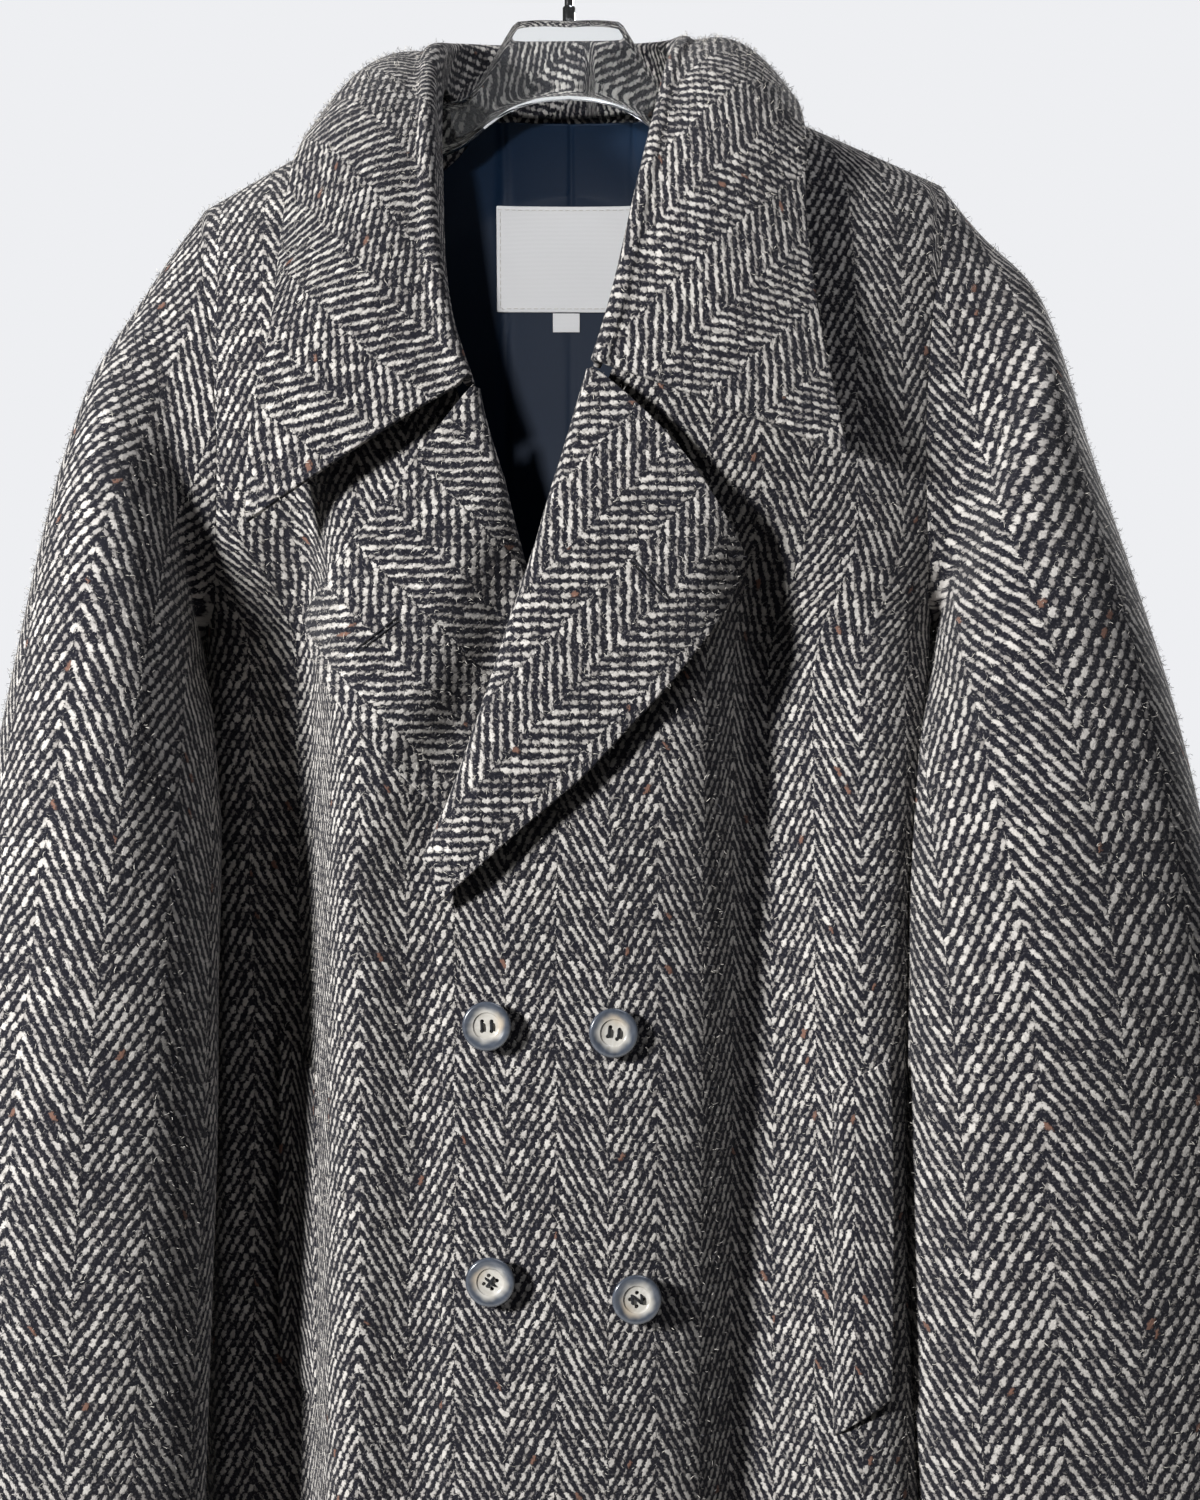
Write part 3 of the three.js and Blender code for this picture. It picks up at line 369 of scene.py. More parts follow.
def math_node(tree, operation, *values):
    """The result of one sum on values or outputs."""
    return node(tree, "ShaderNodeMath", dict(enumerate(values)), operation=operation).outputs[0]


def soft_step(tree, value, start, end):
    """0 up to the start and 1 from the end on, smooth between them."""
    made = node(tree, "ShaderNodeMapRange", {0: value, 1: start, 2: end}, interpolation_type="SMOOTHSTEP")
    return made.outputs[0]


def tweed(name, stripe, start, pitch=2.6, repeat=9.4, shift=0.49):
    """Herringbone tweed: cream floats on black, in upright stripes that climb and fall by turns.

    In mm: the stripe's width, where a climbing one begins, the floats' spacing across and
    their repeat along. Neighbouring columns start a share of the repeat apart. Floats lean
    in climbing stripes and join into slanting ropes in falling ones. Each has its own size,
    place and shade, and hairs and frayed edges break it up."""
    material, tree, shader = new_material(name)
    grain = node(tree, "ShaderNodeUVMap", uv_map="grain").outputs[0]
    soft = node(tree, "ShaderNodeTexNoise", {"Vector": grain, "Scale": 90.0, "Detail": 3.0})
    hair = node(tree, "ShaderNodeTexNoise", {"Vector": grain, "Scale": 700.0, "Detail": 3.0})

    def vector(operation, a, b):
        key = "Scale" if operation == "SCALE" else 1
        return node(tree, "ShaderNodeVectorMath", {0: a, key: b}, operation=operation).outputs[0]

    def m(operation, *values):
        return math_node(tree, operation, *values)

    def cells(value, size):
        """The number of the cell that a place is in, and how far it is from the middle."""
        scaled = m("DIVIDE", value, size)
        index = m("FLOOR", scaled)
        return index, m("MULTIPLY", m("SUBTRACT", m("SUBTRACT", scaled, index), 0.5), size)

    def blot(x, y, half_x, half_y, size):
        """Under 1 inside a float with rounded corners, over 1 outside it."""
        side = m("POWER", m("DIVIDE", m("ABSOLUTE", x), m("MULTIPLY", half_x, size)), 2.4)
        ends = m("POWER", m("DIVIDE", m("ABSOLUTE", y), m("MULTIPLY", half_y, size)), 2.4)
        return m("ADD", side, ends)

    # The rows wander over about 11 mm and the yarn frays over about 1.4 mm
    drift = vector("SCALE", vector("SUBTRACT", soft.outputs[1], (0.5, 0.5, 0.5)), 3.3)
    fray = vector("SCALE", vector("SUBTRACT", hair.outputs[1], (0.5, 0.5, 0.5)), 3.6)
    place = vector("ADD", vector("ADD", vector("SCALE", grain, 1000.0), drift), fray)
    split = node(tree, "ShaderNodeSeparateXYZ", {0: place})
    u, v = split.outputs[0], split.outputs[1]
    stripe_at = m("FLOOR", m("DIVIDE", m("SUBTRACT", u, start), stripe))
    falling = m("ABSOLUTE", m("MODULO", stripe_at, 2.0))

    # Cells of the floats in climbing stripes, and of the ropes in falling ones
    rise = pitch / (shift * repeat)
    lean = pitch / ((1 - shift) * repeat)
    column, x_float = cells(m("SUBTRACT", u, m("MULTIPLY", v, rise)), pitch / shift)
    row, y_float = cells(m("ADD", v, m("MULTIPLY", column, (1 - shift) * repeat)), shift * repeat)
    rope, x_rope = cells(m("ADD", u, m("MULTIPLY", v, lean)), pitch / (1 - shift))
    turn, y_rope = cells(m("SUBTRACT", v, m("MULTIPLY", rope, shift * repeat)), (1 - shift) * repeat)

    def either(one, other):
        """One value in climbing stripes, the other in falling ones."""
        return m("ADD", m("MULTIPLY", m("SUBTRACT", 1.0, falling), one), m("MULTIPLY", falling, other))

    cell = {0: either(column, rope), 1: either(row, turn), 2: stripe_at}
    which = node(tree, "ShaderNodeCombineXYZ", cell).outputs[0]
    chance = node(tree, "ShaderNodeTexWhiteNoise", {"Vector": which}, noise_dimensions="3D")
    picks = node(tree, "ShaderNodeSeparateXYZ", {0: chance.outputs[1]})
    size = m("ADD", 0.74, m("MULTIPLY", picks.outputs[0], 0.48))
    moved = m("MULTIPLY", m("SUBTRACT", picks.outputs[2], 0.5), 0.4 * pitch)
    leaning = m("ADD", x_float, m("MULTIPLY", y_float, 0.45 * rise))
    float_reach = blot(m("ADD", leaning, moved), y_float, 0.44 * pitch, 0.485 * shift * repeat, size)
    rope_reach = blot(m("ADD", x_rope, moved), y_rope, 0.42 * pitch, 0.5 * (1 - shift) * repeat, size)
    mask = soft_step(tree, either(float_reach, rope_reach), 1.9, 0.25)
    threads = node(tree, "ShaderNodeMapping", {"Vector": place, "Scale": (2.2, 0.7, 1.0),
                                               "Rotation": (0, 0, 0.35)}).outputs[0]
    threads = node(tree, "ShaderNodeTexNoise", {"Vector": threads, "Scale": 1.0, "Detail": 3.0}).outputs[0]

    # Cream yarn, dull or bright by the float and streaked by its threads, very rarely brown
    cream = mix_colour(tree, chance.outputs[0], linear("#a19c98"), linear("#f1ece5"))
    cream = mix_colour(tree, m("MULTIPLY", threads, 0.6), cream, linear("#6b6564"))
    rare = m("GREATER_THAN", picks.outputs[1], 0.994)
    cream = mix_colour(tree, rare, cream, linear("#7f5f52"))
    # Black yarn with stray pale hairs
    dark = mix_colour(tree, threads, linear("#040409"), linear("#1f1f2b"))
    stray = node(tree, "ShaderNodeMapRange", {0: hair.outputs[0], 1: 0.55, 2: 0.72}).outputs[0]
    dark = mix_colour(tree, m("MULTIPLY", stray, 0.42), dark, linear("#8a8789"))
    colour = mix_colour(tree, mask, dark, cream)
    shade = m("ADD", 0.82, m("MULTIPLY", soft.outputs[0], 0.36))
    tree.links.new(vector("SCALE", colour, shade), shader.inputs["Base Color"])
    height = m("ADD", mask, m("MULTIPLY", threads, 0.5))
    bump = node(tree, "ShaderNodeBump", {"Height": height, "Distance": 0.0009, "Strength": 0.9})
    tree.links.new(bump.outputs[0], shader.inputs["Normal"])
    shader.inputs["Roughness"].default_value = 0.95
    shader.inputs["Specular IOR Level"].default_value = 0.12
    shader.inputs["Sheen Weight"].default_value = 0.12
    shader.inputs["Sheen Roughness"].default_value = 0.6
    return material


def shoulder_z(x, face):
    """Height of the shoulder line, and of the back of the neck."""
    out = np.abs(x) - NECK_HALF
    slope = np.where(x >= 0, SLOPE[1], SLOPE[-1])
    neck = NECK_Z if face == "front" else NECK_Z + 38 * (1 - (x / NECK_HALF) ** 2)
    return np.where(out > 0, NECK_Z - out * slope, neck)


def of_side(x, z, name):
    """Width or power of the body at a height, on the side that a place is on."""
    return np.where(x >= 0, read(WIDTH[1], "z", z, name), read(WIDTH[-1], "z", z, name))


def surface_y(face, x, z, plain=False):
    """Depth of the hanging body at a place on its front or back."""
    x, z = np.broadcast_arrays(np.asarray(x, float), np.asarray(z, float))
    half, power = of_side(x, z, "half"), of_side(x, z, "power")
    drop = np.maximum(0, shoulder_z(x, face) - z)
    bend = (1 - np.minimum(1, np.abs(x) / half) ** power) ** (1 / power)
    deep = FULL[face] * (1 - np.exp(-np.sqrt(drop) / 9.5)) * bend
    push = np.zeros_like(x)
    if not plain:
        for fold in each_row(FOLDS[face]):
            t = (z - fold["z_top"]) / (HEM_Z - fold["z_top"])
            middle = fold["x_top"] + (fold["x_bottom"] - fold["x_top"]) * t
            start = ease((fold["z_top"] - z) / fold["full"])
            off = x - middle
            half_fold = np.where(off * np.sign(middle) > 0, fold["outer"], fold["inner"])
            push += fold["deep"] * start * np.exp(-(off / half_fold) ** 2)
        push *= ease(drop / 60) * np.minimum(1, bend * 1.6)
        push += 0.9 * ease(drop / 120) * np.sin(x / 31 + z / 170) * np.sin(z / 83 + x / 140 + 1.2) * bend
    return SEAM_Y - deep + push if face == "front" else SEAM_Y + deep - push


def panel_top(face, x, opening):
    """Top edge of a panel at the neck and along the shoulder."""
    out = np.abs(x) - NECK_HALF
    if face == "back":
        neck = NECK_Z - 3 * (1 - (x / NECK_HALF) ** 2)
    elif abs(opening["x"][-2]) >= NECK_HALF:
        neck = np.full_like(x, NECK_Z)
    else:
        end_x, end_z = abs(opening["x"][-2]), opening["z"][-2]
        neck = NECK_Z + (end_z - NECK_Z) * np.minimum(1, -out / (NECK_HALF - end_x))
    return np.where(out >= 0, shoulder_z(x, face), neck)


def arm_rise(share):
    """Height up the armhole, from 0 to 1, closer spaced at both ends."""
    return 0.5 - 0.5 * np.cos(np.pi * share)


def armhole_point(sign, face, rise):
    """Places on the armhole seam."""
    x = sign * read(ARMHOLE[sign], "rise", rise, "x")
    z = ARMPIT_Z + (shoulder_z(x, face) - ARMPIT_Z) * rise
    y = np.where((rise <= 0) | (rise >= 1), SEAM_Y, surface_y(face, x, z))
    return np.stack([x, y, z], -1)


def run_up(face, x, z):
    """Length of the cloth above the armpit level, where it leans back to the shoulder."""
    extra = np.zeros_like(z)
    steps = 24
    last = surface_y(face, x, np.full_like(z, ARMPIT_Z), True)
    top = np.maximum(z, ARMPIT_Z)
    for i in range(1, steps + 1):
        level = ARMPIT_Z + (top - ARMPIT_Z) * i / steps
        y = surface_y(face, x, level, True)
        rise = (top - ARMPIT_Z) / steps
        extra += np.sqrt(rise**2 + (y - last) ** 2) - rise
        last = y
    return z + extra


def body_panel(sign, face, opening, columns, skirt, arm):
    """Points and grain of one body panel, hem to shoulder and middle edge to side."""
    rise = np.concatenate([np.zeros(skirt), arm_rise(np.linspace(0, 1, arm))])
    below = np.arange(skirt + arm) < skirt
    base = np.concatenate([np.linspace(HEM_Z, ARMPIT_Z, skirt + 1)[:-1], np.full(arm, ARMPIT_Z)])
    share = np.linspace(0, 1, columns)[None, :]
    rise, below, base = rise[:, None], below[:, None], base[:, None]
    z = np.repeat(base, columns, 1)
    x = np.zeros_like(z)
    for _ in range(8):
        half, power = read(WIDTH[sign], "z", z, "half"), read(WIDTH[sign], "z", z, "power")
        inner = sign * read(opening, "z", z, "x") if opening else np.full_like(z, -SEAM_OVERLAP)
        outer = np.where(below, half, read(ARMHOLE[sign], "rise", np.repeat(rise, columns, 1), "x"))

        def angle(at):
            return np.arcsin(np.sign(at) * np.minimum(1, np.abs(at) / half) ** (power / 2))

        turned = angle(inner) + (angle(outer) - angle(inner)) * share
        x = sign * np.sign(turned) * half * np.abs(np.sin(turned)) ** (2 / power)
        z = np.where(below, z, ARMPIT_Z + (panel_top(face, x, opening) - ARMPIT_Z) * rise)
    toward = -1 if face == "front" else 1
    y = surface_y(face, x, z)
    if face == "front" and sign < 0:
        y = y + inset(x, z)
    y[below[:, 0], -1] = SEAM_Y - toward * SEAM_OVERLAP
    hole = armhole_point(sign, face, rise[skirt:, 0])
    x[skirt:, -1], y[skirt:, -1], z[skirt:, -1] = hole[:, 0], hole[:, 1], hole[:, 2]
    y[skirt, -1] = SEAM_Y - toward * SEAM_OVERLAP
    top = np.abs(x[-1]) >= NECK_HALF
    y[-1, top] = SEAM_Y - toward * SEAM_OVERLAP
    points = np.stack([x, y, z], -1)
    flat = points.copy()
    flat[..., 2] = 0
    grain_u = x[:, :1] + sign * lengths(flat, 1)
    return points, np.stack([grain_u, run_up(face, x, z)], -1)


def flipped(sign, face):
    """Whether a panel's faces have to be turned round to point outwards."""
    return (sign < 0) != (face == "back")


def part_of(obj, nodes):
    """Attaches a cloth piece to the root and hides the imported parts that it stands for."""
    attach(obj, "root")
    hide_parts(*nodes)
    return obj


body_cloth = tweed("wool herringbone body", 27, -31.3)
# The outer faces of the cloth pieces, with how thick the nap stands on each
outer_faces = []
for name, sign in (("back_left", 1), ("back_right", -1)):
    points, grain = body_panel(sign, "back", None, 28, 34, 26)
    back = cloth(f"{name}_cloth", points, grain, COAT_CLOTH, body_cloth, flipped(sign, "back"))
    part_of(back, [name])
    outer_faces.append((points, grain, flipped(sign, "back"), 0.5))


# Lining: dark navy satin inside the back, with an upright seam at the middle, one to the
# wearer's left of it and a narrow pleat to the right, all lost in shade lower down.
LINING = table("z left right", (-123, 50, 52), (-138, 60, 60), (-165, 100, 90), (-200, 156, 140),
               (-250, 184, 178), (-340, 185, 180), (-430, 184, 180), (-520, 170, 163), (-640, 166, 158),
               (-800, 170, 160), (-980, 184, 176), (-1190, 208, 202))
LINING_SEAMS = table("x deep half", (1, 1.1, 1.4), (37.5, 1.0, 1.3), (-39, 2.2, 2.4))
LINING_CLOTH = 1.2


def lining_y(x, z):
    """Depth of the lining: 5 mm inside the back, further off lower down."""
    clear = 20 * ease((-300 - z) / 260)
    return surface_y("back", x, z, True) - COAT_CLOTH - 5 - clear


def satin(name):
    """Navy lining satin: smooth, with a soft upright gleam and upright threads 0.2 mm apart."""
    material, tree, shader = new_material(name)
    grain = node(tree, "ShaderNodeUVMap", uv_map="grain").outputs[0]
    thread = node(tree, "ShaderNodeMapping", {"Vector": grain, "Scale": (5200.0, 260.0, 1.0)}).outputs[0]
    thread = node(tree, "ShaderNodeTexNoise", {"Vector": thread, "Scale": 1.0, "Detail": 1.0}).outputs[0]
    cloud = node(tree, "ShaderNodeTexNoise", {"Vector": grain, "Scale": 9.0, "Detail": 2.0}).outputs[0]
    colour = mix_colour(tree, thread, linear("#07111d"), linear("#0f2135"))
    tree.links.new(mix_colour(tree, cloud, colour, linear("#0c1c2e")), shader.inputs["Base Color"])
    bump = node(tree, "ShaderNodeBump", {"Height": thread, "Distance": 0.0001, "Strength": 0.4})
    tree.links.new(bump.outputs[0], shader.inputs["Normal"])
    shader.inputs["Roughness"].default_value = 0.5
    shader.inputs["Specular IOR Level"].default_value = 0.12
    shader.inputs["Anisotropic"].default_value = 0.5
    return material


columns = 150
by_row = table("row z", *enumerate(LINING["z"]))
levels = read(by_row, "row", np.linspace(0, len(LINING["z"]) - 1, 100), "z")[:, None]
edge_left, edge_right = read(LINING, "z", levels, "left"), read(LINING, "z", levels, "right")
x = -edge_right + (edge_left + edge_right) * np.linspace(0, 1, columns)[None, :]
z = np.repeat(levels, columns, 1)
y = lining_y(x, z)
for seam in each_row(LINING_SEAMS):
    y = y + seam["deep"] * np.exp(-((x - seam["x"]) / seam["half"]) ** 2)
points = np.stack([x, y, z], -1)
navy_satin = satin("navy lining satin")
lining = cloth("lining_cloth", points, np.stack([x, z], -1), LINING_CLOTH, navy_satin, True, 0)
part_of(lining, ["lining"])


# Label and size tab: a bare off-white woven tape sewn on the lining under the neck with a
# running stitch, and a small bare tab below it.
LABEL = dict(x=-1.2, width=84, top=-169, height=61)
SIZE_TAB = dict(x=-2, width=16, height=11)
TAPE = 0.6
TAPE_OFF = 1.9
STITCH = dict(length=2.6, gap=1.4, radius=0.22)
STITCH_INSET = 2.2
STITCH_OFF = 2.15


def tape(name):
    """Woven label tape: off-white with a faint sheen, its ribs 0.75 mm apart, coarser than real."""
    material, tree, shader = new_material(name)
    grain = node(tree, "ShaderNodeUVMap", uv_map="grain").outputs[0]
    rib = node(tree, "ShaderNodeTexWave", {"Vector": grain, "Scale": 420.0, "Distortion": 0.6},
               bands_direction="Y").outputs[1]
    cloud = node(tree, "ShaderNodeTexNoise", {"Vector": grain, "Scale": 40.0, "Detail": 3.0}).outputs[0]
    colour = mix_colour(tree, rib, linear("#d0cfcb"), linear("#e6e5e1"))
    colour = mix_colour(tree, cloud, colour, linear("#dbd9d4"))
    tree.links.new(colour, shader.inputs["Base Color"])
    bump = node(tree, "ShaderNodeBump", {"Height": rib, "Distance": 0.0001, "Strength": 0.5})
    tree.links.new(bump.outputs[0], shader.inputs["Normal"])
    shader.inputs["Roughness"].default_value = 0.6
    shader.inputs["Sheen Weight"].default_value = 0.2
    return material


def patch_points(spec, columns, rows, off):
    """Grid of a patch that lies a little wavy on the lining."""
    px = spec["x"] - spec["width"] / 2 + spec["width"] * np.linspace(0, 1, columns)[None, :]
    pz = spec["top"] - spec["height"] * np.linspace(0, 1, rows)[:, None]
    px, pz = np.broadcast_arrays(px, pz)
    wave = 0.35 * np.sin(px / 9 + pz / 17) * np.sin(pz / 13)
    return np.stack([px, lining_y(px, pz) - off + wave, pz], -1)


def node_group(name, inputs):
    """A geometry node group with named inputs, and its input node."""
    group = bpy.data.node_groups.new(name, "GeometryNodeTree")
    group.is_modifier = True
    for label, kind in [("Geometry", "Geometry")] + inputs:
        group.interface.new_socket(label, in_out="INPUT", socket_type=f"NodeSocket{kind}")
    group.interface.new_socket("Geometry", in_out="OUTPUT", socket_type="NodeSocketGeometry")
    return group, node(group, "NodeGroupInput")


def end_group(group, placed, material):
    """Makes the instances real, gives them a material and ends the group."""
    real = node(group, "GeometryNodeRealizeInstances", {0: placed.outputs[0]})
    dressed = node(group, "GeometryNodeSetMaterial", {"Geometry": real.outputs[0], "Material": material})
    node(group, "NodeGroupOutput", {"Geometry": dressed.outputs[0]})


def grown(name, source, group, values):
    """What a node group makes of an object, as a plain piece; inputs are set by identifier."""
    modifier = source.modifiers.new("grown", "NODES")
    modifier.node_group = group
    for item in group.interface.items_tree:
        if item.item_type == "SOCKET" and item.in_out == "INPUT" and item.name in values:
            modifier[item.identifier] = values[item.name]
    made = linked(name, plain_mesh(source))
    bpy.data.objects.remove(source)
    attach(made, "root")
    return made


def stitch_row(name, path, length, gap, radius, material):
    """Even stitches along a path: each is a small bent thread instanced on a spaced curve."""
    curve = bpy.data.curves.new(name, "CURVE")
    curve.dimensions = "3D"
    add_path(curve, [Vector(place) / 1000 for place in path])
    group, start = node_group(name, [("Spacing", "Float"), ("Length", "Float"), ("Radius", "Float")])
    spaced = node(group, "GeometryNodeCurveToPoints",
                  {"Curve": start.outputs["Geometry"], "Length": start.outputs["Spacing"]}, mode="LENGTH")
    half = math_node(group, "MULTIPLY", start.outputs["Length"], 0.5)
    first = node(group, "ShaderNodeCombineXYZ", {2: math_node(group, "MULTIPLY", half, -1.0)}).outputs[0]
    rise = math_node(group, "MULTIPLY", start.outputs["Radius"], 1.6)
    middle = node(group, "ShaderNodeCombineXYZ", {0: rise}).outputs[0]
    last = node(group, "ShaderNodeCombineXYZ", {2: half}).outputs[0]
    arc = node(group, "GeometryNodeCurveQuadraticBezier",
               {"Resolution": 6, "Start": first, "Middle": middle, "End": last})
    ring = node(group, "GeometryNodeCurvePrimitiveCircle",
                {"Resolution": 6, "Radius": start.outputs["Radius"]})
    bent = node(group, "GeometryNodeCurveToMesh",
                {"Curve": arc.outputs[0], "Profile Curve": ring.outputs[0], "Fill Caps": True})
    placed = node(group, "GeometryNodeInstanceOnPoints",
                  {"Points": spaced.outputs["Points"], "Instance": bent.outputs[0],
                   "Rotation": spaced.outputs["Rotation"]})
    end_group(group, placed, material)
    sizes = {"Spacing": (length + gap) / 1000, "Length": length / 1000, "Radius": radius / 1000}
    made = grown(f"{name}_thread", linked(name, curve), group, sizes)
    if not made.data.materials:
        made.data.materials.append(material)
    return made


def thread(name, code, rough=0.7):
    """Sewing thread: twisted, its slanting turns painted with highlight and shade, one each 0.7 mm."""
    material, tree, shader = new_material(name)
    place = node(tree, "ShaderNodeTexCoord").outputs["Object"]
    painted_twist_shading = node(tree, "ShaderNodeTexWave", {"Vector": place, "Scale": 900.0},
                 bands_direction="DIAGONAL").outputs[1]
    base = linear(code)
    # The lighter colour is a painted highlight on each turn of the twist, and the base colour is its painted
    # shade
    light = [min(1, c * 1.6 + 0.004) for c in base[:3]] + [1]
    tree.links.new(mix_colour(tree, painted_twist_shading, base, light), shader.inputs["Base Color"])
    shader.inputs["Roughness"].default_value = rough
    return material


tape_material = tape("off-white label tape")
SIZE_TAB["top"] = LABEL["top"] - LABEL["height"] - 0.5
for name, spec in (("label", LABEL), ("size_tab", SIZE_TAB)):
    points = patch_points(spec, 30, 22, TAPE_OFF)
    made = cloth(f"{name}_tape", points, points[..., [0, 2]], TAPE, tape_material, True)
    part_of(made, [name])

cream_thread = thread("cream sewing thread", "#b5b1a8")
corners = [(-1, 1), (1, 1), (1, -1), (-1, -1), (-1, 1)]
half_wide = LABEL["width"] / 2 - STITCH_INSET
half_high = LABEL["height"] / 2 - STITCH_INSET
path = []
for (ax, az), (bx, bz) in zip(corners[:-1], corners[1:]):
    for t in np.linspace(0, 1, 24)[:-1]:
        px = LABEL["x"] + half_wide * (ax + (bx - ax) * t)
        pz = LABEL["top"] - LABEL["height"] / 2 + half_high * (az + (bz - az) * t)
        path.append((px, float(lining_y(px, pz)) - STITCH_OFF, pz))
label_stitches = stitch_row("label_stitch", path, **STITCH, material=cream_thread)


# Fronts: the same tweed, cut in one piece each. The left one laps over the right, its straight
# edge left of the middle. They fall from the shoulders under the collar and fold back on
# the roll lines as the lapels.
LEFT_OPENING = table("z x", (-1240, -65), (-640, -65), (-600, -68), (-571, -75), (-511, -50), (-459, -32),
                     (-418, -19), (-361, -1), (-294, 22), (-251, 39), (-194, 53), (-147, 65), (-118, 76))
RIGHT_OPENING = table("z x", (-1240, 55), (-660, 55), (-610, 40), (-571, 12), (-501, -5), (-417, -25),
                      (-349, -42), (-301, -57), (-258, -70), (-224, -77), (-170, -80), (-118, -82))


def inset(x, z):
    """How far the right front lies behind the left one."""
    x, z = np.broadcast_arrays(np.asarray(x, float), np.asarray(z, float))
    reach = ease((x - read(LEFT_OPENING, "z", z, "x") + 48) / 42)
    deep = 18 - 9 * ease((-560 - z) / 100)
    return reach * deep * ease((-330 - z) / 70)


for name, sign, opening in (("front_right", -1, RIGHT_OPENING), ("front_left", 1, LEFT_OPENING)):
    points, grain = body_panel(sign, "front", opening, 46, 50, 34)
    front = cloth(f"{name}_cloth", points, grain, COAT_CLOTH, body_cloth, flipped(sign, "front"))
    part_of(front, [name])
    outer_faces.append((points, grain, flipped(sign, "front"), 1))


# Welts: one slanting pocket mouth on each front, a doubled strip of the same tweed sewn
# down at its ends and along its inner edge, open along the outer one.
WELTS = {
    "welt_left": (1, dict(in_x=141, in_top=-671, in_bottom=-853,
                          out_x=170, out_top=-653, out_bottom=-833)),
    "welt_right": (-1, dict(in_x=-136, in_top=-668, in_bottom=-846,
                            out_x=-160, out_top=-644, out_bottom=-824)),
}


def normals(points, flip=False):
    """Outward direction at each point of a grid."""
    along = np.gradient(points, axis=0)
    across = np.gradient(points, axis=1)
    n = np.cross(across, along)
    n /= np.maximum(np.linalg.norm(n, axis=-1, keepdims=True), 1e-9)
    return -n if flip else n


for name, (sign, spec) in WELTS.items():
    a = np.linspace(0, 1, 12)[None, :]
    t = np.linspace(0, 1, 44)[:, None]
    x = spec["in_x"] + (spec["out_x"] - spec["in_x"]) * a + 0 * t
    top = spec["in_top"] + (spec["out_top"] - spec["in_top"]) * a
    bottom = spec["in_bottom"] + (spec["out_bottom"] - spec["in_bottom"]) * a
    z = top + (bottom - top) * t
    points = np.stack([x, surface_y("front", x, z), z], -1)
    out = normals(points, sign > 0)
    open_edge = 4.2 * a**3 * np.sin(np.pi * t) ** 0.4
    swell = 0.5 + 1.3 * np.sin(np.pi * a) ** 0.5 * np.sin(np.pi * t) ** 0.3 + open_edge
    points = points + out * (3.2 * ease(a / 0.3 + 0.12) + swell)[..., None]
    grain = np.stack([sign * lengths(points, 1) + spec["in_x"], z + 0 * a], -1)
    welt = cloth(f"{name}_cloth", points, grain, COAT_CLOTH, body_cloth, sign > 0)
    part_of(welt, [name])


# Sleeves: each cut as a top and an under half, set into the armhole with a full rounded
# head that drops over the end of the hanger, then hanging a little forward to a plain cuff.
SLEEVES = {
    1: table("s out_x out_z in_x in_z front back",
             (1, 233, -199, 201, -437, -72, 72), (2, 261, -229, 196, -446, -88, 72),
             (3, 274, -267, 191, -460, -102, 68), (4, 288, -324, 187, -478, -116, 58),
             (5, 304, -380, 183, -505, -128, 40), (6, 327, -461, 181, -560, -138, 18),
             (7, 345, -545, 180.5, -625, -141, 2), (8, 358, -630, 179.5, -700, -140, -8),
             (9, 368, -720, 180, -775, -136, -17), (10, 374, -815, 183, -845, -130, -26),
             (11, 376, -912, 187, -912, -124, -34)),
    -1: table("s out_x out_z in_x in_z front back",
              (1, 224, -212, 201, -437, -70, 72), (2, 243, -244, 197, -447, -86, 72),
              (3, 262, -280, 193, -462, -100, 66), (4, 276, -326, 191, -480, -114, 54),
              (5, 287, -380, 190, -508, -126, 34), (6, 301, -460, 188, -560, -136, 12),
              (7, 316, -545, 188, -625, -139, -2), (8, 330, -630, 188, -700, -138, -9),
              (9, 341, -720, 190, -775, -134, -17), (10, 348, -815, 192, -845, -129, -26),
              (11, 350, -912, 194, -912, -124, -34)),
}
SLEEVE_CREASES = table("turn s deep half long", (0.30, 5.2, 2.4, 0.05, 1.6), (0.62, 7.0, 2.0, 0.06, 2.4),
                       (0.42, 9.2, 2.2, 0.05, 1.8), (0.18, 3.2, 2.2, 0.05, 1.1), (1.35, 6.5, 2.4, 0.07, 2.5),
                       (1.62, 8.6, 2.2, 0.07, 2.0))
AROUND = 26
SLEEVE_RINGS = 62
EASING_ROUNDS = 9000
ARMHOLE_OVERLAP = 0.4


def sleeve_rings(sign):
    """Rings of a sleeve from the armhole to the cuff, each starting at the armpit."""
    k = np.arange(2 * AROUND)
    row = np.where(k <= AROUND, k, 2 * AROUND - k) / AROUND
    rise = arm_rise(row)
    front = armhole_point(sign, "front", rise)
    back = armhole_point(sign, "back", rise)
    hole = np.where((k <= AROUND)[:, None], front, back)
    hole[:, 0] -= sign * ARMHOLE_OVERLAP
    rings = [hole]
    along = ((hole[:, 2] - hole[0, 2]) / (hole[AROUND, 2] - hole[0, 2]))[:, None]
    angle = np.pi * (1 + k / AROUND)
    for i, spec in enumerate(each_row(SLEEVES[sign])):
        outer = np.array([sign * spec["out_x"], 0, spec["out_z"]])
        inner = np.array([sign * spec["in_x"], 0, spec["in_z"]])
        points = (outer + inner) / 2 + (outer - inner) / 2 * np.cos(angle)[:, None]
        middle, arm = (spec["front"] + spec["back"]) / 2, (spec["back"] - spec["front"]) / 2
        points[:, 1] = middle + arm * np.sin(angle)
        like = inner + (outer - inner) * along
        like[:, 1] = hole[:, 1]
        keep = max(0, 1 - (i + 1) / 3)
        rings.append(points * (1 - keep) + like * keep)
    return refine(np.array(rings), SLEEVE_RINGS, 0)


def unit(v):
    """Vectors of length 1 the same way."""
    return v / np.maximum(np.linalg.norm(v, axis=-1, keepdims=True), 1e-9)


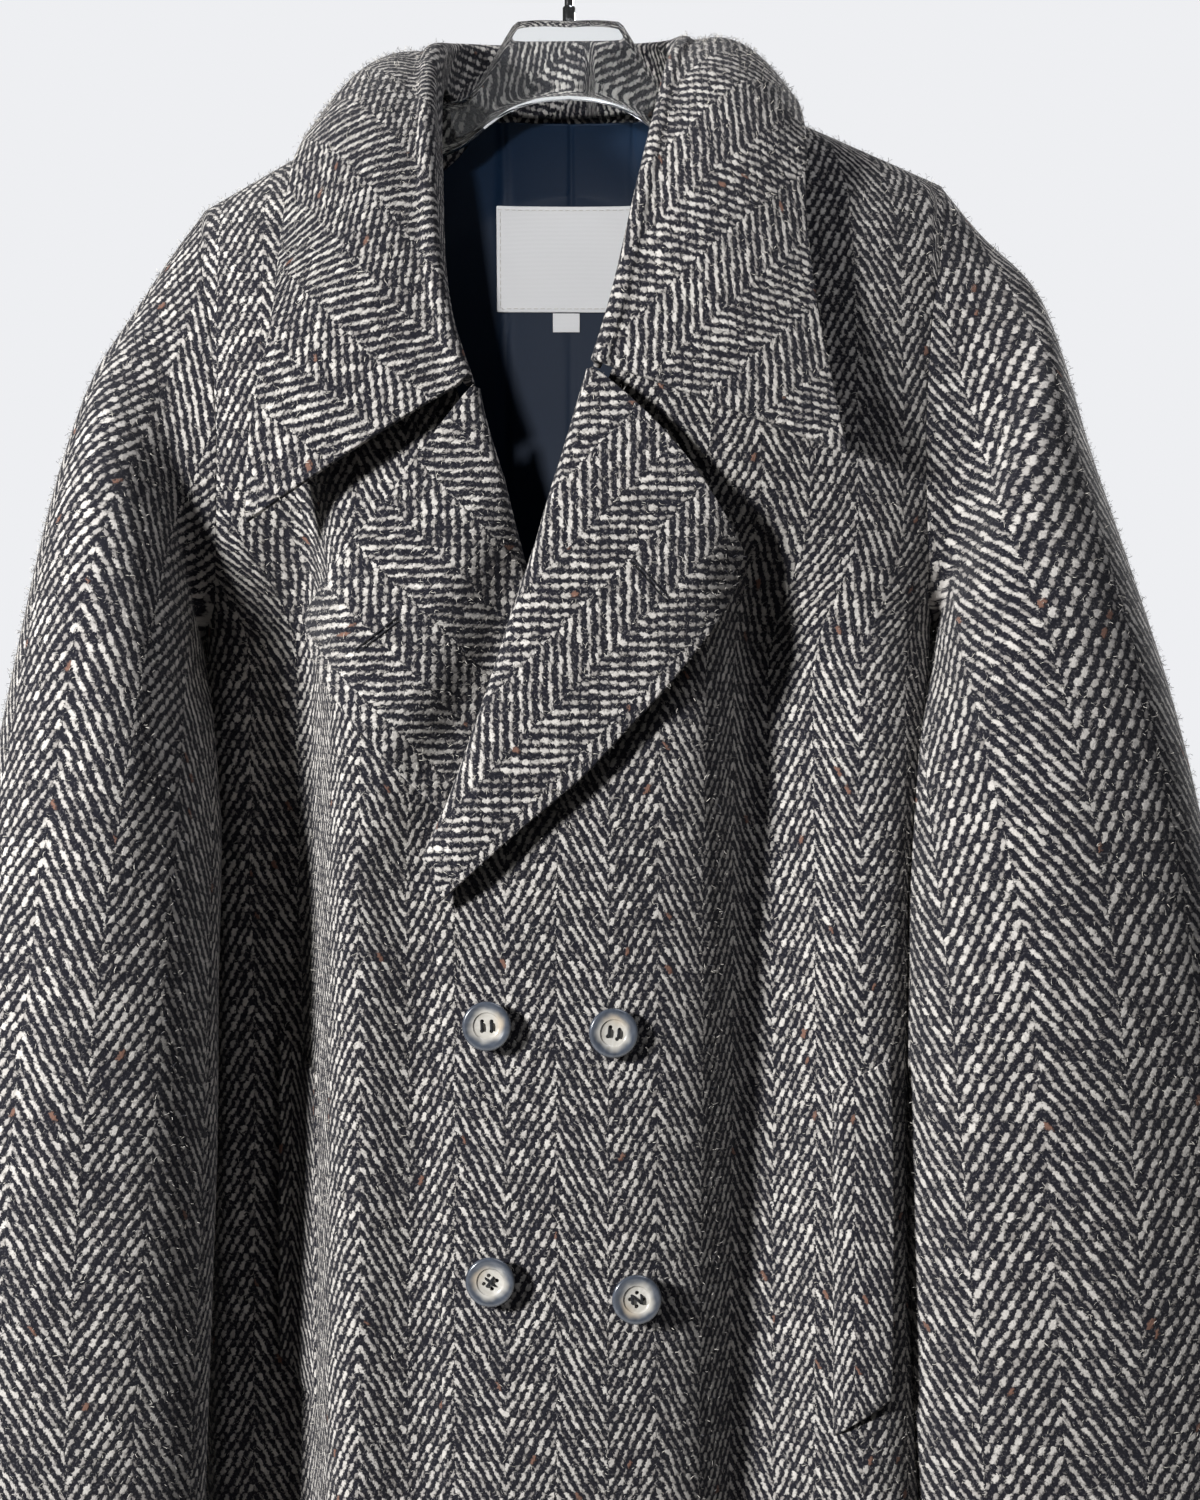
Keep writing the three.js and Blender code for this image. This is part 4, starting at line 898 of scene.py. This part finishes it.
def unrolled(points, out, middle):
    """Grain of a tube cut open and laid flat, upright along the sleeve and eased all over."""
    centre = points[:, :2 * AROUND].mean(1)
    axis = unit(np.gradient(centre, axis=0))
    level = np.maximum(np.arange(len(axis)), len(axis) // 4)
    axis = -axis[level][:, None]
    up = unit(axis - out * np.sum(axis * out, -1, keepdims=True))
    over = -unit(np.cross(up, out))

    def steps(at):
        d = np.diff(points, axis=at)
        a, b = [slice(None)] * 3, [slice(None)] * 3
        a[at], b[at] = slice(1, None), slice(None, -1)
        return np.stack([np.sum(d * (way[tuple(a)] + way[tuple(b)]) / 2, -1) for way in (over, up)], -1)

    down, side = steps(0), steps(1)
    grain = np.concatenate([np.zeros((1,) + down.shape[1:]), np.cumsum(down, 0)])
    grain += np.concatenate([[[0, 0]], np.cumsum(side[-1], 0)])[None] - grain[-1:]
    count = np.full(grain.shape[:2] + (1,), 4.0)
    count[[0, -1]] -= 1
    count[:, [0, -1]] -= 1
    for _ in range(EASING_ROUNDS):
        total = np.zeros_like(grain)
        total[1:] += grain[:-1] + down
        total[:-1] += grain[1:] - down
        total[:, 1:] += grain[:, :-1] + side
        total[:, :-1] += grain[:, 1:] - side
        grain = 0.2 * grain + 0.8 * total / count
    return grain - grain[-1, middle]


# Stripe, start, pitch, repeat and shift of the weave on each sleeve
SLEEVE_WEAVE = {1: (43, -13, 3.5, 10.2, 0.49), -1: (36, -102, 3.1, 9.6, 0.49)}
for side, sign in (("left", 1), ("right", -1)):
    rings = sleeve_rings(sign)
    count = 2 * AROUND
    wrapped = np.concatenate([rings, rings[:, :8]], 1)
    out = normals(np.concatenate([rings[:, -1:], wrapped], 1), sign > 0)[:, 1:]
    turn = (np.arange(wrapped.shape[1]) / AROUND)[None, :]
    s = np.linspace(0, 11, len(rings))[:, None]
    for crease in each_row(SLEEVE_CREASES):
        off = (turn - crease["turn"] - 0.03 * (s - crease["s"])) / crease["half"]
        near = np.exp(-((s - crease["s"]) / crease["long"]) ** 2)
        wrapped = wrapped - out * (crease["deep"] * near * np.exp(-off**2))[..., None]
    grain = unrolled(wrapped, out, round(AROUND * 0.6)) * (-1, 1)
    sleeve_cloth = tweed(f"wool herringbone sleeve {side}", *SLEEVE_WEAVE[sign])
    first = round(AROUND / 11)
    second = round(AROUND * 15 / 11)
    halves = {"top": slice(first, second + 1), "under": slice(second, first + count + 1)}
    for half, columns in halves.items():
        name = f"sleeve_{side}_{half}"
        made = cloth(f"{name}_cloth", wrapped[:, columns], grain[:, columns], COAT_CLOTH, sleeve_cloth,
                     sign > 0)
        flat, area = ((0.34, 0.82), 0.21) if half == "top" else ((0.2, 0.66), 0.1)
        part_of(made, [name])
    outer_faces.append((wrapped[:, first:second + 1], grain[:, first:second + 1], sign > 0, 1))


# Collar: one folded piece, a stand inside the neck and a wide leaf turned down outside it,
# lying over the shoulders and ending in the notches at the front.
COLLAR = table(
    "fold_x fold_y fold_z foot_x foot_y foot_z edge_x edge_y edge_z swell",
    (15, -103, -285, 14, -86, -286, 149, -108, -335, 5), (26, -99, -247, 27, -74, -250, 142, -101, -300, 6),
    (38, -86, -191, 43, -56, -200, 133, -93, -247, 8), (48, -63, -144, 57, -34, -165, 129, -80, -196, 10),
    (56, -33, -107, 66, -14, -139, 131, -59, -156, 12), (62, 3, -87, 71, 6, -116, 127, 5, -121, 12),
    (54, 38, -79, 57, 35, -117, 112, 64, -143, 14), (30, 58, -75, 31, 46, -119, 66, 94, -164, 14),
    (-6, 64, -74, -6, 50, -120, -6, 104, -170, 14), (-42, 57, -76, -43, 43, -119, -79, 94, -166, 14),
    (-65, 35, -81, -65, 23, -117, -122, 64, -148, 14), (-74, 0, -92, -70, 4, -117, -140, 5, -136, 12),
    (-75, -36, -118, -70, -16, -142, -150, -55, -168, 12),
    (-74, -67, -154, -68, -40, -172, -154, -82, -222, 10),
    (-69, -94, -223, -65, -64, -228, -157, -95, -267, 8),
    (-62, -103, -261, -59, -78, -264, -167, -100, -316, 6),
    (-51, -108, -295, -48, -89, -296, -169, -107, -371, 5))
TURNED = 4.5
COLLAR_ROWS = 96
TURNED_ROWS = 34


def collar_points(rows, fold_radius=7):
    """Sections of the collar from the foot of the stand over the fold to the outer edge."""
    c = {key: refine(value, rows) for key, value in COLLAR.items()}
    fold, foot, edge = (np.stack([c[f"{line}_{way}"] for way in "xyz"], -1)
                        for line in ("fold", "foot", "edge"))
    stand, leaf = unit(foot - fold), unit(edge - fold)
    up = -unit(stand + leaf)
    inward = unit(stand - up * np.sum(stand * up, -1, keepdims=True))
    centre = fold - up * fold_radius
    ring = [foot, None]
    for degrees in (0, 30, 60, 90, 120, 150, 180):
        a = math.radians(degrees)
        ring.append(centre + inward * fold_radius * math.cos(a) + up * fold_radius * math.sin(a))
    ring[1] = (foot + ring[2]) / 2
    start = ring[-1]
    out = unit(up - leaf * np.sum(up * leaf, -1, keepdims=True))
    for share in np.linspace(0, 1, 9)[1:]:
        bow = c["swell"] * math.sin(math.pi * share**0.8)
        ring.append(start + (edge - start) * share + out * bow[:, None])
    return np.stack(ring, 1)


points = refine(collar_points(COLLAR_ROWS), TURNED_ROWS, 1)
fall = np.linspace(0, 1, TURNED_ROWS)[None, :]
wave = 0.8 * np.sin(np.linspace(0, 23, COLLAR_ROWS))[:, None] * fall**2
points = points + normals(points) * wave[..., None]
run_path = lengths(points[:, 20:21], 0)
run_fall = lengths(points, 1) - lengths(points, 1)[:, 13:14]
middle_row = 45
along = run_path - run_path[middle_row]
turned_by = math.radians(31)
half_sign = np.where(along < 0, -1, 1)
path_run = np.abs(along)
grain_g = -path_run * math.cos(turned_by) + run_fall * math.sin(turned_by)
grain_a = -path_run * math.sin(turned_by) - run_fall * math.cos(turned_by)
grain = np.stack([half_sign * grain_a, grain_g], -1)
collar_cloth = tweed("wool herringbone collar", 27, 4, 3.6, 7.2, 0.5)
collar = cloth("collar_cloth", points, grain, TURNED, collar_cloth)
part_of(collar, ["collar"])
outer_faces.append((points[:, 12:], grain[:, 12:], False, 2))


# Lapels: the fronts turn back on the roll lines and show the facing. The left lapel lies
# on top, the right one slips under the left front. Both stand well off the chest.
LAPEL_LEFT = table(
    "roll_x roll_z edge_x edge_z swell",
    (18, -290, 94.5, -386, 7), (12, -311, 89, -407, 4), (5, -335, 76, -430, 1), (-3, -361, 55, -456, 0),
    (-10.5, -387, 32.6, -480, 0), (-21, -418, 9, -505, 0), (-34, -459, -23, -532, 0),
    (-52, -511, -50, -556, 0), (-69, -551, -67, -571, 0))
LAPEL_RIGHT = table(
    "roll_x roll_z edge_x edge_z swell",
    (-52.5, -300, -144, -416, -3), (-50, -313, -143, -431, 0), (-45, -331, -138, -441, 0),
    (-39, -350, -128, -456, 0), (-34, -371, -114, -473, 0), (-28, -394, -96, -493, 0),
    (-23, -417, -75, -514, 0), (-13, -459, -49, -535, 0), (-3, -501, -23, -553, 0), (7, -543, 0, -566, 0))
LAPEL_ROWS = 56
LAPEL_SECTION = table(
    "share past off", (0, 5.4, -3), (0, 7.2, 2), (0, 6, 7.5), (0, 2, 11), (0.14, 0, 13), (0.35, 0, 14),
    (0.58, 0, 14), (0.8, 0, 13.5), (1, 0, 13))


def lapel_points(rows, sign):
    """Points and grain of a lapel, from inside the neck over the roll to its edge."""
    roll = np.stack([rows["roll_x"], 0 * rows["roll_x"], rows["roll_z"]], -1)
    edge = np.stack([rows["edge_x"], 0 * rows["edge_x"], rows["edge_z"]], -1)
    way = unit(np.gradient(roll, axis=0))
    away = np.stack([way[:, 2], 0 * way[:, 0], -way[:, 0]], -1) * sign
    edge_way = edge - roll
    size = np.linalg.norm(edge_way, axis=1)
    across = unit(edge_way)
    beside = np.stack([-across[:, 2], 0 * size, across[:, 0]], -1) * sign
    sec = LAPEL_SECTION
    share, past, off = sec["share"][None, :], sec["past"][None, :], sec["off"][None, :]
    base = roll[:, None] + edge_way[:, None] * share[..., None]
    bow = (rows["swell"][:, None] * np.sin(np.pi * share))[..., None]
    place = base + away[:, None] * past[..., None] + beside[:, None] * bow
    lift = ease(size / 50)[:, None]
    off = np.where(off > 0, off * (0.62 + 0.38 * lift), off)
    if sign > 0:
        place[..., 1] = surface_y("front", base[..., 0], place[..., 2]) - off
    else:
        under = inset(place[..., 0], place[..., 2])
        pressed = ease(under / 18)
        lower = np.minimum(off, off * (1 - pressed) + 10.2 * pressed)
        place[..., 1] = surface_y("front", place[..., 0], place[..., 2]) + under - lower
    place = refine(refine(place, LAPEL_ROWS, 0), TURNED_ROWS, 1)
    run = lengths(place, 1)
    run = run - run[:, 12:13]
    turned = place[:, 12:13] - refine(away, LAPEL_ROWS, 0)[:, None] * run[..., None]
    flat = np.where(run[..., None] < 0, turned, place)
    return place, flat[..., [0, 2]]


LAPELS = {"lapel_left": (1, LAPEL_LEFT, 45), "lapel_right": (-1, LAPEL_RIGHT, -45)}
lapel_cloth = tweed("wool herringbone lapel", 27, 3, 3.6, 7.2, 0.5)
lapel_grids = {}
for name, (sign, rows, turn) in LAPELS.items():
    points, flat = lapel_points(rows, sign)
    wave = 0.9 * np.sin(np.linspace(0, 7, LAPEL_ROWS) + sign)[:, None] * fall**2
    points = points + normals(points, sign > 0) * wave[..., None]
    c, s = math.cos(math.radians(turn)), math.sin(math.radians(turn))
    grain = np.stack([flat[..., 0] * c - flat[..., 1] * s, flat[..., 0] * s + flat[..., 1] * c], -1)
    lapel = cloth(f"{name}_cloth", points, grain, TURNED, lapel_cloth, sign > 0)
    part_of(lapel, [name])
    outer_faces.append((points[:, 10:], grain[:, 10:], sign > 0, 2))
    lapel_grids[name] = points


# Buttonholes: a worked slit in each lapel, slanting towards its point, closed all round
# with short black stitches that lie side by side.
BUTTONHOLES = {
    "lapel_left": ((34.6, -391.5), (53.2, -412.1)),
    "lapel_right": ((-109.1, -438.7), (-87.3, -422.1)),
}
HOLE_STITCH = dict(length=0.5, gap=0.25, radius=0.45)
SLIT_TO_STITCH = 1.0
HOLE_LIFT = 0.35
black_thread = thread("black buttonhole thread", "#14141a", 0.9)
for name, ends in BUTTONHOLES.items():
    points = lapel_grids[name]
    flat = points[:, 12:].reshape(-1, 3)
    path = []
    for t in np.linspace(0, 1, 24):
        px = ends[0][0] + (ends[1][0] - ends[0][0]) * t
        pz = ends[0][1] + (ends[1][1] - ends[0][1]) * t
        near = np.argsort((flat[:, 0] - px) ** 2 + (flat[:, 2] - pz) ** 2)[:4]
        weight = 1 / (1e-3 + (flat[near, 0] - px) ** 2 + (flat[near, 2] - pz) ** 2)
        py = float(np.sum(flat[near, 1] * weight) / np.sum(weight))
        path.append(np.array([px, py - HOLE_LIFT, pz]))
    way = unit(path[-1] - path[0])
    side = unit(np.cross(way, np.array([0, 1.0, 0])))
    for k, shift in (("a", SLIT_TO_STITCH), ("b", -SLIT_TO_STITCH)):
        line = [tuple(p + side * shift) for p in path]
        made = stitch_row(f"{name}_hole_{k}", line, **HOLE_STITCH, material=black_thread)


# Buttons: four polished grey horn buttons with a raised rim, a dished middle and four
# holes, sewn on with dark thread, each pair of holes crossed in its own way.
BUTTONS = {
    "button_1": (-40.8, -635, "bars", 0.06), "button_2": (25.3, -638.5, "bars", -0.1),
    "button_3": (-38.8, -768, "cross", 0.12), "button_4": (37.2, -777, "zed", 0.05),
}
BUTTON_STAND = 0.6
BUTTON_PROFILE = [
    (0, 0), (8.6, 0), (11.4, 0.7), (12.6, 1.7), (13, 2.8), (12.7, 3.7), (11.9, 4.2), (10.8, 4.2),
    (9.6, 3.9), (8.2, 3.5), (7.3, 3.3), (6.9, 2.7), (6.3, 2.4), (3.4, 2.3), (0, 2.3),
]
HOLE_OUT = 2.5
HOLE_RADIUS = 1.05
THREAD_OVER = 3.4
THREAD_BOW = 0.3
THREAD_INSIDE = 1.2
THREAD_ASIDE = 0.228
THREAD_RADIUS = 0.5
SEWN = {
    "bars": [[(-1, 1), (-1, -1)], [(1, 1), (1, -1)]],
    "cross": [[(-1, 1), (1, -1)], [(-1, -1), (1, 1)]],
    "zed": [[(-1, -1), (-1, 1)], [(-1, 1), (1, -1)], [(1, -1), (1, 1)]],
}


def horn(name):
    """Polished horn: slate rim clouded to a pale middle, beige on one side, streaks 3 mm wide."""
    material, tree, shader = new_material(name)
    place = node(tree, "ShaderNodeUVMap", uv_map="disc").outputs[0]
    far = node(tree, "ShaderNodeVectorMath", {0: place}, operation="LENGTH").outputs["Value"]
    streaks = node(tree, "ShaderNodeMapping", {"Vector": place, "Scale": (90.0, 320.0, 1.0),
                                               "Rotation": (0, 0, 0.5)}).outputs[0]
    streaks = node(tree, "ShaderNodeTexNoise", {"Vector": streaks, "Scale": 1.0, "Detail": 3.0}).outputs[0]
    cloud = node(tree, "ShaderNodeTexNoise", {"Vector": place, "Scale": 75.0, "Detail": 2.0}).outputs[0]
    uneven = math_node(tree, "MULTIPLY", math_node(tree, "SUBTRACT", cloud, 0.5), 0.007)
    pale = soft_step(tree, math_node(tree, "ADD", far, uneven), 0.0105, 0.0065)
    rim = mix_colour(tree, streaks, linear("#1f242d"), linear("#5a616d"))
    middle = mix_colour(tree, streaks, linear("#a39d92"), linear("#dcdad4"))
    side = node(tree, "ShaderNodeSeparateXYZ", {0: place}).outputs[0]
    warm = math_node(tree, "MULTIPLY", soft_step(tree, side, 0.002, 0.009), 0.7)
    middle = mix_colour(tree, warm, middle, linear("#b29f84"))
    tree.links.new(mix_colour(tree, pale, rim, middle), shader.inputs["Base Color"])
    shader.inputs["Roughness"].default_value = 0.22
    shader.inputs["Coat Weight"].default_value = 0.5
    shader.inputs["Coat Roughness"].default_value = 0.08
    return material


def button_mesh(name):
    """A turned button with its four holes cut through."""
    mesh = bpy.data.meshes.new(name)
    work = bmesh.new()
    turned_round(work, BUTTON_PROFILE, (0, 0), 56, 1e-6)
    work.to_mesh(mesh)
    work.free()
    obj = linked(name, mesh)
    cutter_mesh = bpy.data.meshes.new("holes")
    work = bmesh.new()
    for ax, az in ((1, 1), (1, -1), (-1, 1), (-1, -1)):
        spot = Matrix.Translation((ax * HOLE_OUT / 1000, az * HOLE_OUT / 1000, 0.002))
        bmesh.ops.create_cone(work, cap_ends=True, segments=20, radius1=HOLE_RADIUS / 1000,
                              radius2=HOLE_RADIUS / 1000, depth=0.012, matrix=spot)
    work.to_mesh(cutter_mesh)
    work.free()
    cutter = linked("holes", cutter_mesh)
    cut = obj.modifiers.new("cut", "BOOLEAN")
    cut.object = cutter
    cut.operation = "DIFFERENCE"
    cut.solver = "EXACT"
    bevel = obj.modifiers.new("soften", "BEVEL")
    bevel.width = 0.00018
    bevel.segments = 2
    bevel.angle_limit = math.radians(50)
    baked(obj)
    bpy.data.objects.remove(cutter)
    layer = obj.data.uv_layers.new(name="disc")
    for loop in obj.data.loops:
        co = obj.data.vertices[loop.vertex_index].co
        layer.data[loop.index].uv = (co.x, co.y)
    obj.data.polygons.foreach_set("use_smooth", [True] * len(obj.data.polygons))
    obj.data.set_sharp_from_angle(angle=math.radians(40))
    return obj


def thread_path(holes):
    """One pass of thread from hole to hole, over the face of the button."""
    path = []
    for a, b in zip(holes[:-1], holes[1:]):
        for t in np.linspace(0, 1, 7):
            over = THREAD_OVER + THREAD_BOW * math.sin(math.pi * t)
            lift = THREAD_INSIDE if t in (0, 1) else over
            path.append(Vector((a[0] + (b[0] - a[0]) * t, a[1] + (b[1] - a[1]) * t, lift / 1000)))
    return path


horn_material = horn("polished grey horn")
button_thread = thread("dark button thread", "#0d0e13", 0.9)
for number, (name, (bx, bz, how, turned)) in enumerate(BUTTONS.items()):
    step = 4
    by = float(surface_y("front", bx, bz))
    slope_x = float(surface_y("front", bx + step, bz) - surface_y("front", bx - step, bz))
    slope_z = float(surface_y("front", bx, bz + step) - surface_y("front", bx, bz - step))
    out = Vector((slope_x, -2 * step, slope_z)).normalized()
    turn = out.to_track_quat("Z", "Y").to_matrix().to_4x4()
    place = Matrix.Translation(Vector((bx, by, bz)) / 1000 + out * BUTTON_STAND / 1000) @ turn
    button = button_mesh(f"{name}_horn")
    button.data.materials.clear()
    button.data.materials.append(horn_material)
    button.data.transform(place @ Matrix.Rotation(number * 1.3, 4, "Z"))
    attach(button, "root")
    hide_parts(name)
    curve = bpy.data.curves.new(f"{name}_sewing", "CURVE")
    spin = Matrix.Rotation(turned, 4, "Z")
    for run in SEWN[how]:
        for aside in (-THREAD_ASIDE, THREAD_ASIDE):
            holes = [((a * HOLE_OUT + aside) / 1000, (b * HOLE_OUT - aside) / 1000) for a, b in run]
            add_path(curve, [place @ (spin @ spot) for spot in thread_path(holes)])
    mesh = wire_mesh(f"{name}_sewing_path", curve, THREAD_RADIUS, 3)
    sewing = linked(f"{name}_sewing", mesh)
    mesh.materials.clear()
    mesh.materials.append(button_thread)
    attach(sewing, "root")


# Nap: loose wool hairs that stand off the tweed and make its outline fuzzy, thicker on the
# collar and lapels. Each is a thin bent ribbon scattered over the face of the cloth, several
# times as wide as a real hair, so that it shows. Sizes here are in metres.
HAIRS_PER_M2 = 50000.0
HAIR_LENGTH = 0.0034
HAIR_HALF = 0.00013


def nap_group():
    """Scatters hairs over a mesh, leaning and sized at random by the seed."""
    group, start = node_group("wool nap", [("Density", "Float"), ("Length", "Float"), ("Seed", "Int"),
                                           ("Material", "Material")])
    seed, length = start.outputs["Seed"], start.outputs["Length"]
    spots = node(group, "GeometryNodeDistributePointsOnFaces",
                 {"Mesh": start.outputs["Geometry"], "Density": start.outputs["Density"], "Seed": seed})
    middle = node(group, "ShaderNodeCombineXYZ", {2: length}).outputs[0]
    tip = node(group, "ShaderNodeCombineXYZ", {0: math_node(group, "MULTIPLY", length, 0.7),
                                               2: math_node(group, "MULTIPLY", length, 0.75)}).outputs[0]
    line = node(group, "GeometryNodeCurveQuadraticBezier",
                {"Resolution": 3, "Start": (0, 0, 0), "Middle": middle, "End": tip})
    flat = node(group, "GeometryNodeCurvePrimitiveLine",
                {"Start": (-HAIR_HALF, 0, 0), "End": (HAIR_HALF, 0, 0)})
    hair = node(group, "GeometryNodeCurveToMesh",
                {"Curve": line.outputs[0], "Profile Curve": flat.outputs[0]})
    size = node(group, "FunctionNodeRandomValue", {2: 0.45, 3: 1.0, "Seed": seed}, data_type="FLOAT")
    spin = node(group, "FunctionNodeRandomValue", {0: (-1.1, -1.1, -3.14), 1: (1.1, 1.1, 3.14), "Seed": seed},
                data_type="FLOAT_VECTOR")
    lean = node(group, "FunctionNodeRotateRotation",
                {"Rotation": spots.outputs["Rotation"], "Rotate By": spin.outputs[0]}, rotation_space="LOCAL")
    placed = node(group, "GeometryNodeInstanceOnPoints",
                  {"Points": spots.outputs["Points"], "Instance": hair.outputs[0],
                   "Rotation": lean.outputs[0], "Scale": size.outputs[1]})
    end_group(group, placed, start.outputs["Material"])
    return group


def wool_hair(name):
    """Single wool hairs, grey to cream by their place, matt."""
    material, tree, shader = new_material(name)
    place = node(tree, "ShaderNodeTexCoord").outputs["Object"]
    tone = node(tree, "ShaderNodeTexNoise", {"Vector": place, "Scale": 300.0, "Detail": 1.0}).outputs[0]
    tone = node(tree, "ShaderNodeMapRange", {0: tone, 1: 0.4, 2: 0.6}).outputs[0]
    tree.links.new(mix_colour(tree, tone, linear("#4a4a50"), linear("#d8d3c9")), shader.inputs["Base Color"])
    shader.inputs["Roughness"].default_value = 1.0
    return material


hair_material = wool_hair("loose wool hair")
nap = nap_group()
for number, (points, grain, flip, share) in enumerate(outer_faces):
    base = linked(f"nap_base_{number}", grid_mesh(f"nap_base_{number}", points, grain, flip))
    values = {"Density": HAIRS_PER_M2 * share, "Length": HAIR_LENGTH, "Seed": 11 + number,
              "Material": hair_material}
    hairs = grown(f"wool_nap_{number}", base, nap, values)


# The room: a pale floor well below the hem and a pale even background. A window stands on
# the left in front, a weak light above and one behind. An even light reaches the floor
# alone, and a narrow beam, as the window throws it in at the neck, the lining alone.
FLOOR_Z = -1.55
FLOOR_HALF = 20
mesh = bpy.data.meshes.new("floor")
corners = [(x * FLOOR_HALF, y * FLOOR_HALF, FLOOR_Z) for x, y in ((-1, -1), (1, -1), (1, 1), (-1, 1))]
mesh.from_pydata(corners, [], [(0, 1, 2, 3)])
floor_material, tree, shader = new_material("pale floor")
place = node(tree, "ShaderNodeTexCoord").outputs["Object"]
spread = node(tree, "ShaderNodeTexNoise", {"Vector": place, "Scale": 1.5}).outputs[0]
tone = mix_colour(tree, spread, linear("#d9d8d5"), linear("#e2e1de"))
tree.links.new(tone, shader.inputs["Base Color"])
shader.inputs["Roughness"].default_value = 0.8
mesh.materials.append(floor_material)
floor = linked("floor", mesh)
floor.visible_diffuse = False

# The world looks pale to the camera and through the clear hanger, and lights the coat weakly
world = bpy.data.worlds.new("pale room")
scene.world = world
world.use_nodes = True
tree = world.node_tree
backdrop = tree.nodes["Background"]
backdrop.inputs[0].default_value = linear("#e6e6e6")
backdrop.inputs[1].default_value = 0.05
seen = node(tree, "ShaderNodeBackground", {0: linear("#eeeff2"), 1: 1.0})
rays = node(tree, "ShaderNodeLightPath")
clear = math_node(tree, "MAXIMUM", rays.outputs["Is Camera Ray"], rays.outputs["Is Transmission Ray"])
both = node(tree, "ShaderNodeMixShader", {0: clear, 1: backdrop.outputs[0], 2: seen.outputs[0]})
tree.links.new(both.outputs[0], tree.nodes["World Output"].inputs[0])


def area_light(name, place, target, size, power, code):
    """A square light that faces a target."""
    light = bpy.data.lights.new(name, "AREA")
    light.energy = power
    light.size = size
    light.color = linear(code)[:3]
    obj = linked(name, light)
    obj.location = place
    obj.rotation_euler = (Vector(target) - Vector(place)).to_track_quat("-Z", "Y").to_euler()
    return obj


area_light("window", (-1.68, -1.62, 0.0), (0, 0, -0.6), 0.3, 95, "#ffffff")
area_light("fill", (0.9, -0.7, 1.9), (0, 0, -0.3), 1.2, 20, "#f4f6ff")
area_light("behind", (1.9, 2.3, 0.5), (0, 0, -0.6), 1.0, 100, "#ffffff")

sun = bpy.data.lights.new("floor wash", "SUN")
sun.energy = 2.1
wash = linked("floor wash", sun)
ground = bpy.data.collections.new("ground")
ground.objects.link(bpy.data.objects["floor"])
wash.light_linking.receiver_collection = ground

inside = bpy.data.collections.new("inside the neck")
for piece in ("lining_cloth", "label_tape", "size_tab_tape", "label_stitch_thread"):
    inside.objects.link(bpy.data.objects[piece])
beam = area_light("neck", (-0.42, -2.6, -0.16), (0, 0.04, -0.3), 0.12, 61, "#f6f8ff")
beam.light_linking.receiver_collection = inside

camera = bpy.data.cameras.new("camera")
camera.lens = 62.3
camera.sensor_width = 36
eye = linked("camera", camera)
eye.location = (0.0181, -1.47, -0.4906)
eye.rotation_euler = (math.pi / 2, 0, 0)
scene.camera = eye
scene.view_settings.view_transform = "Standard"
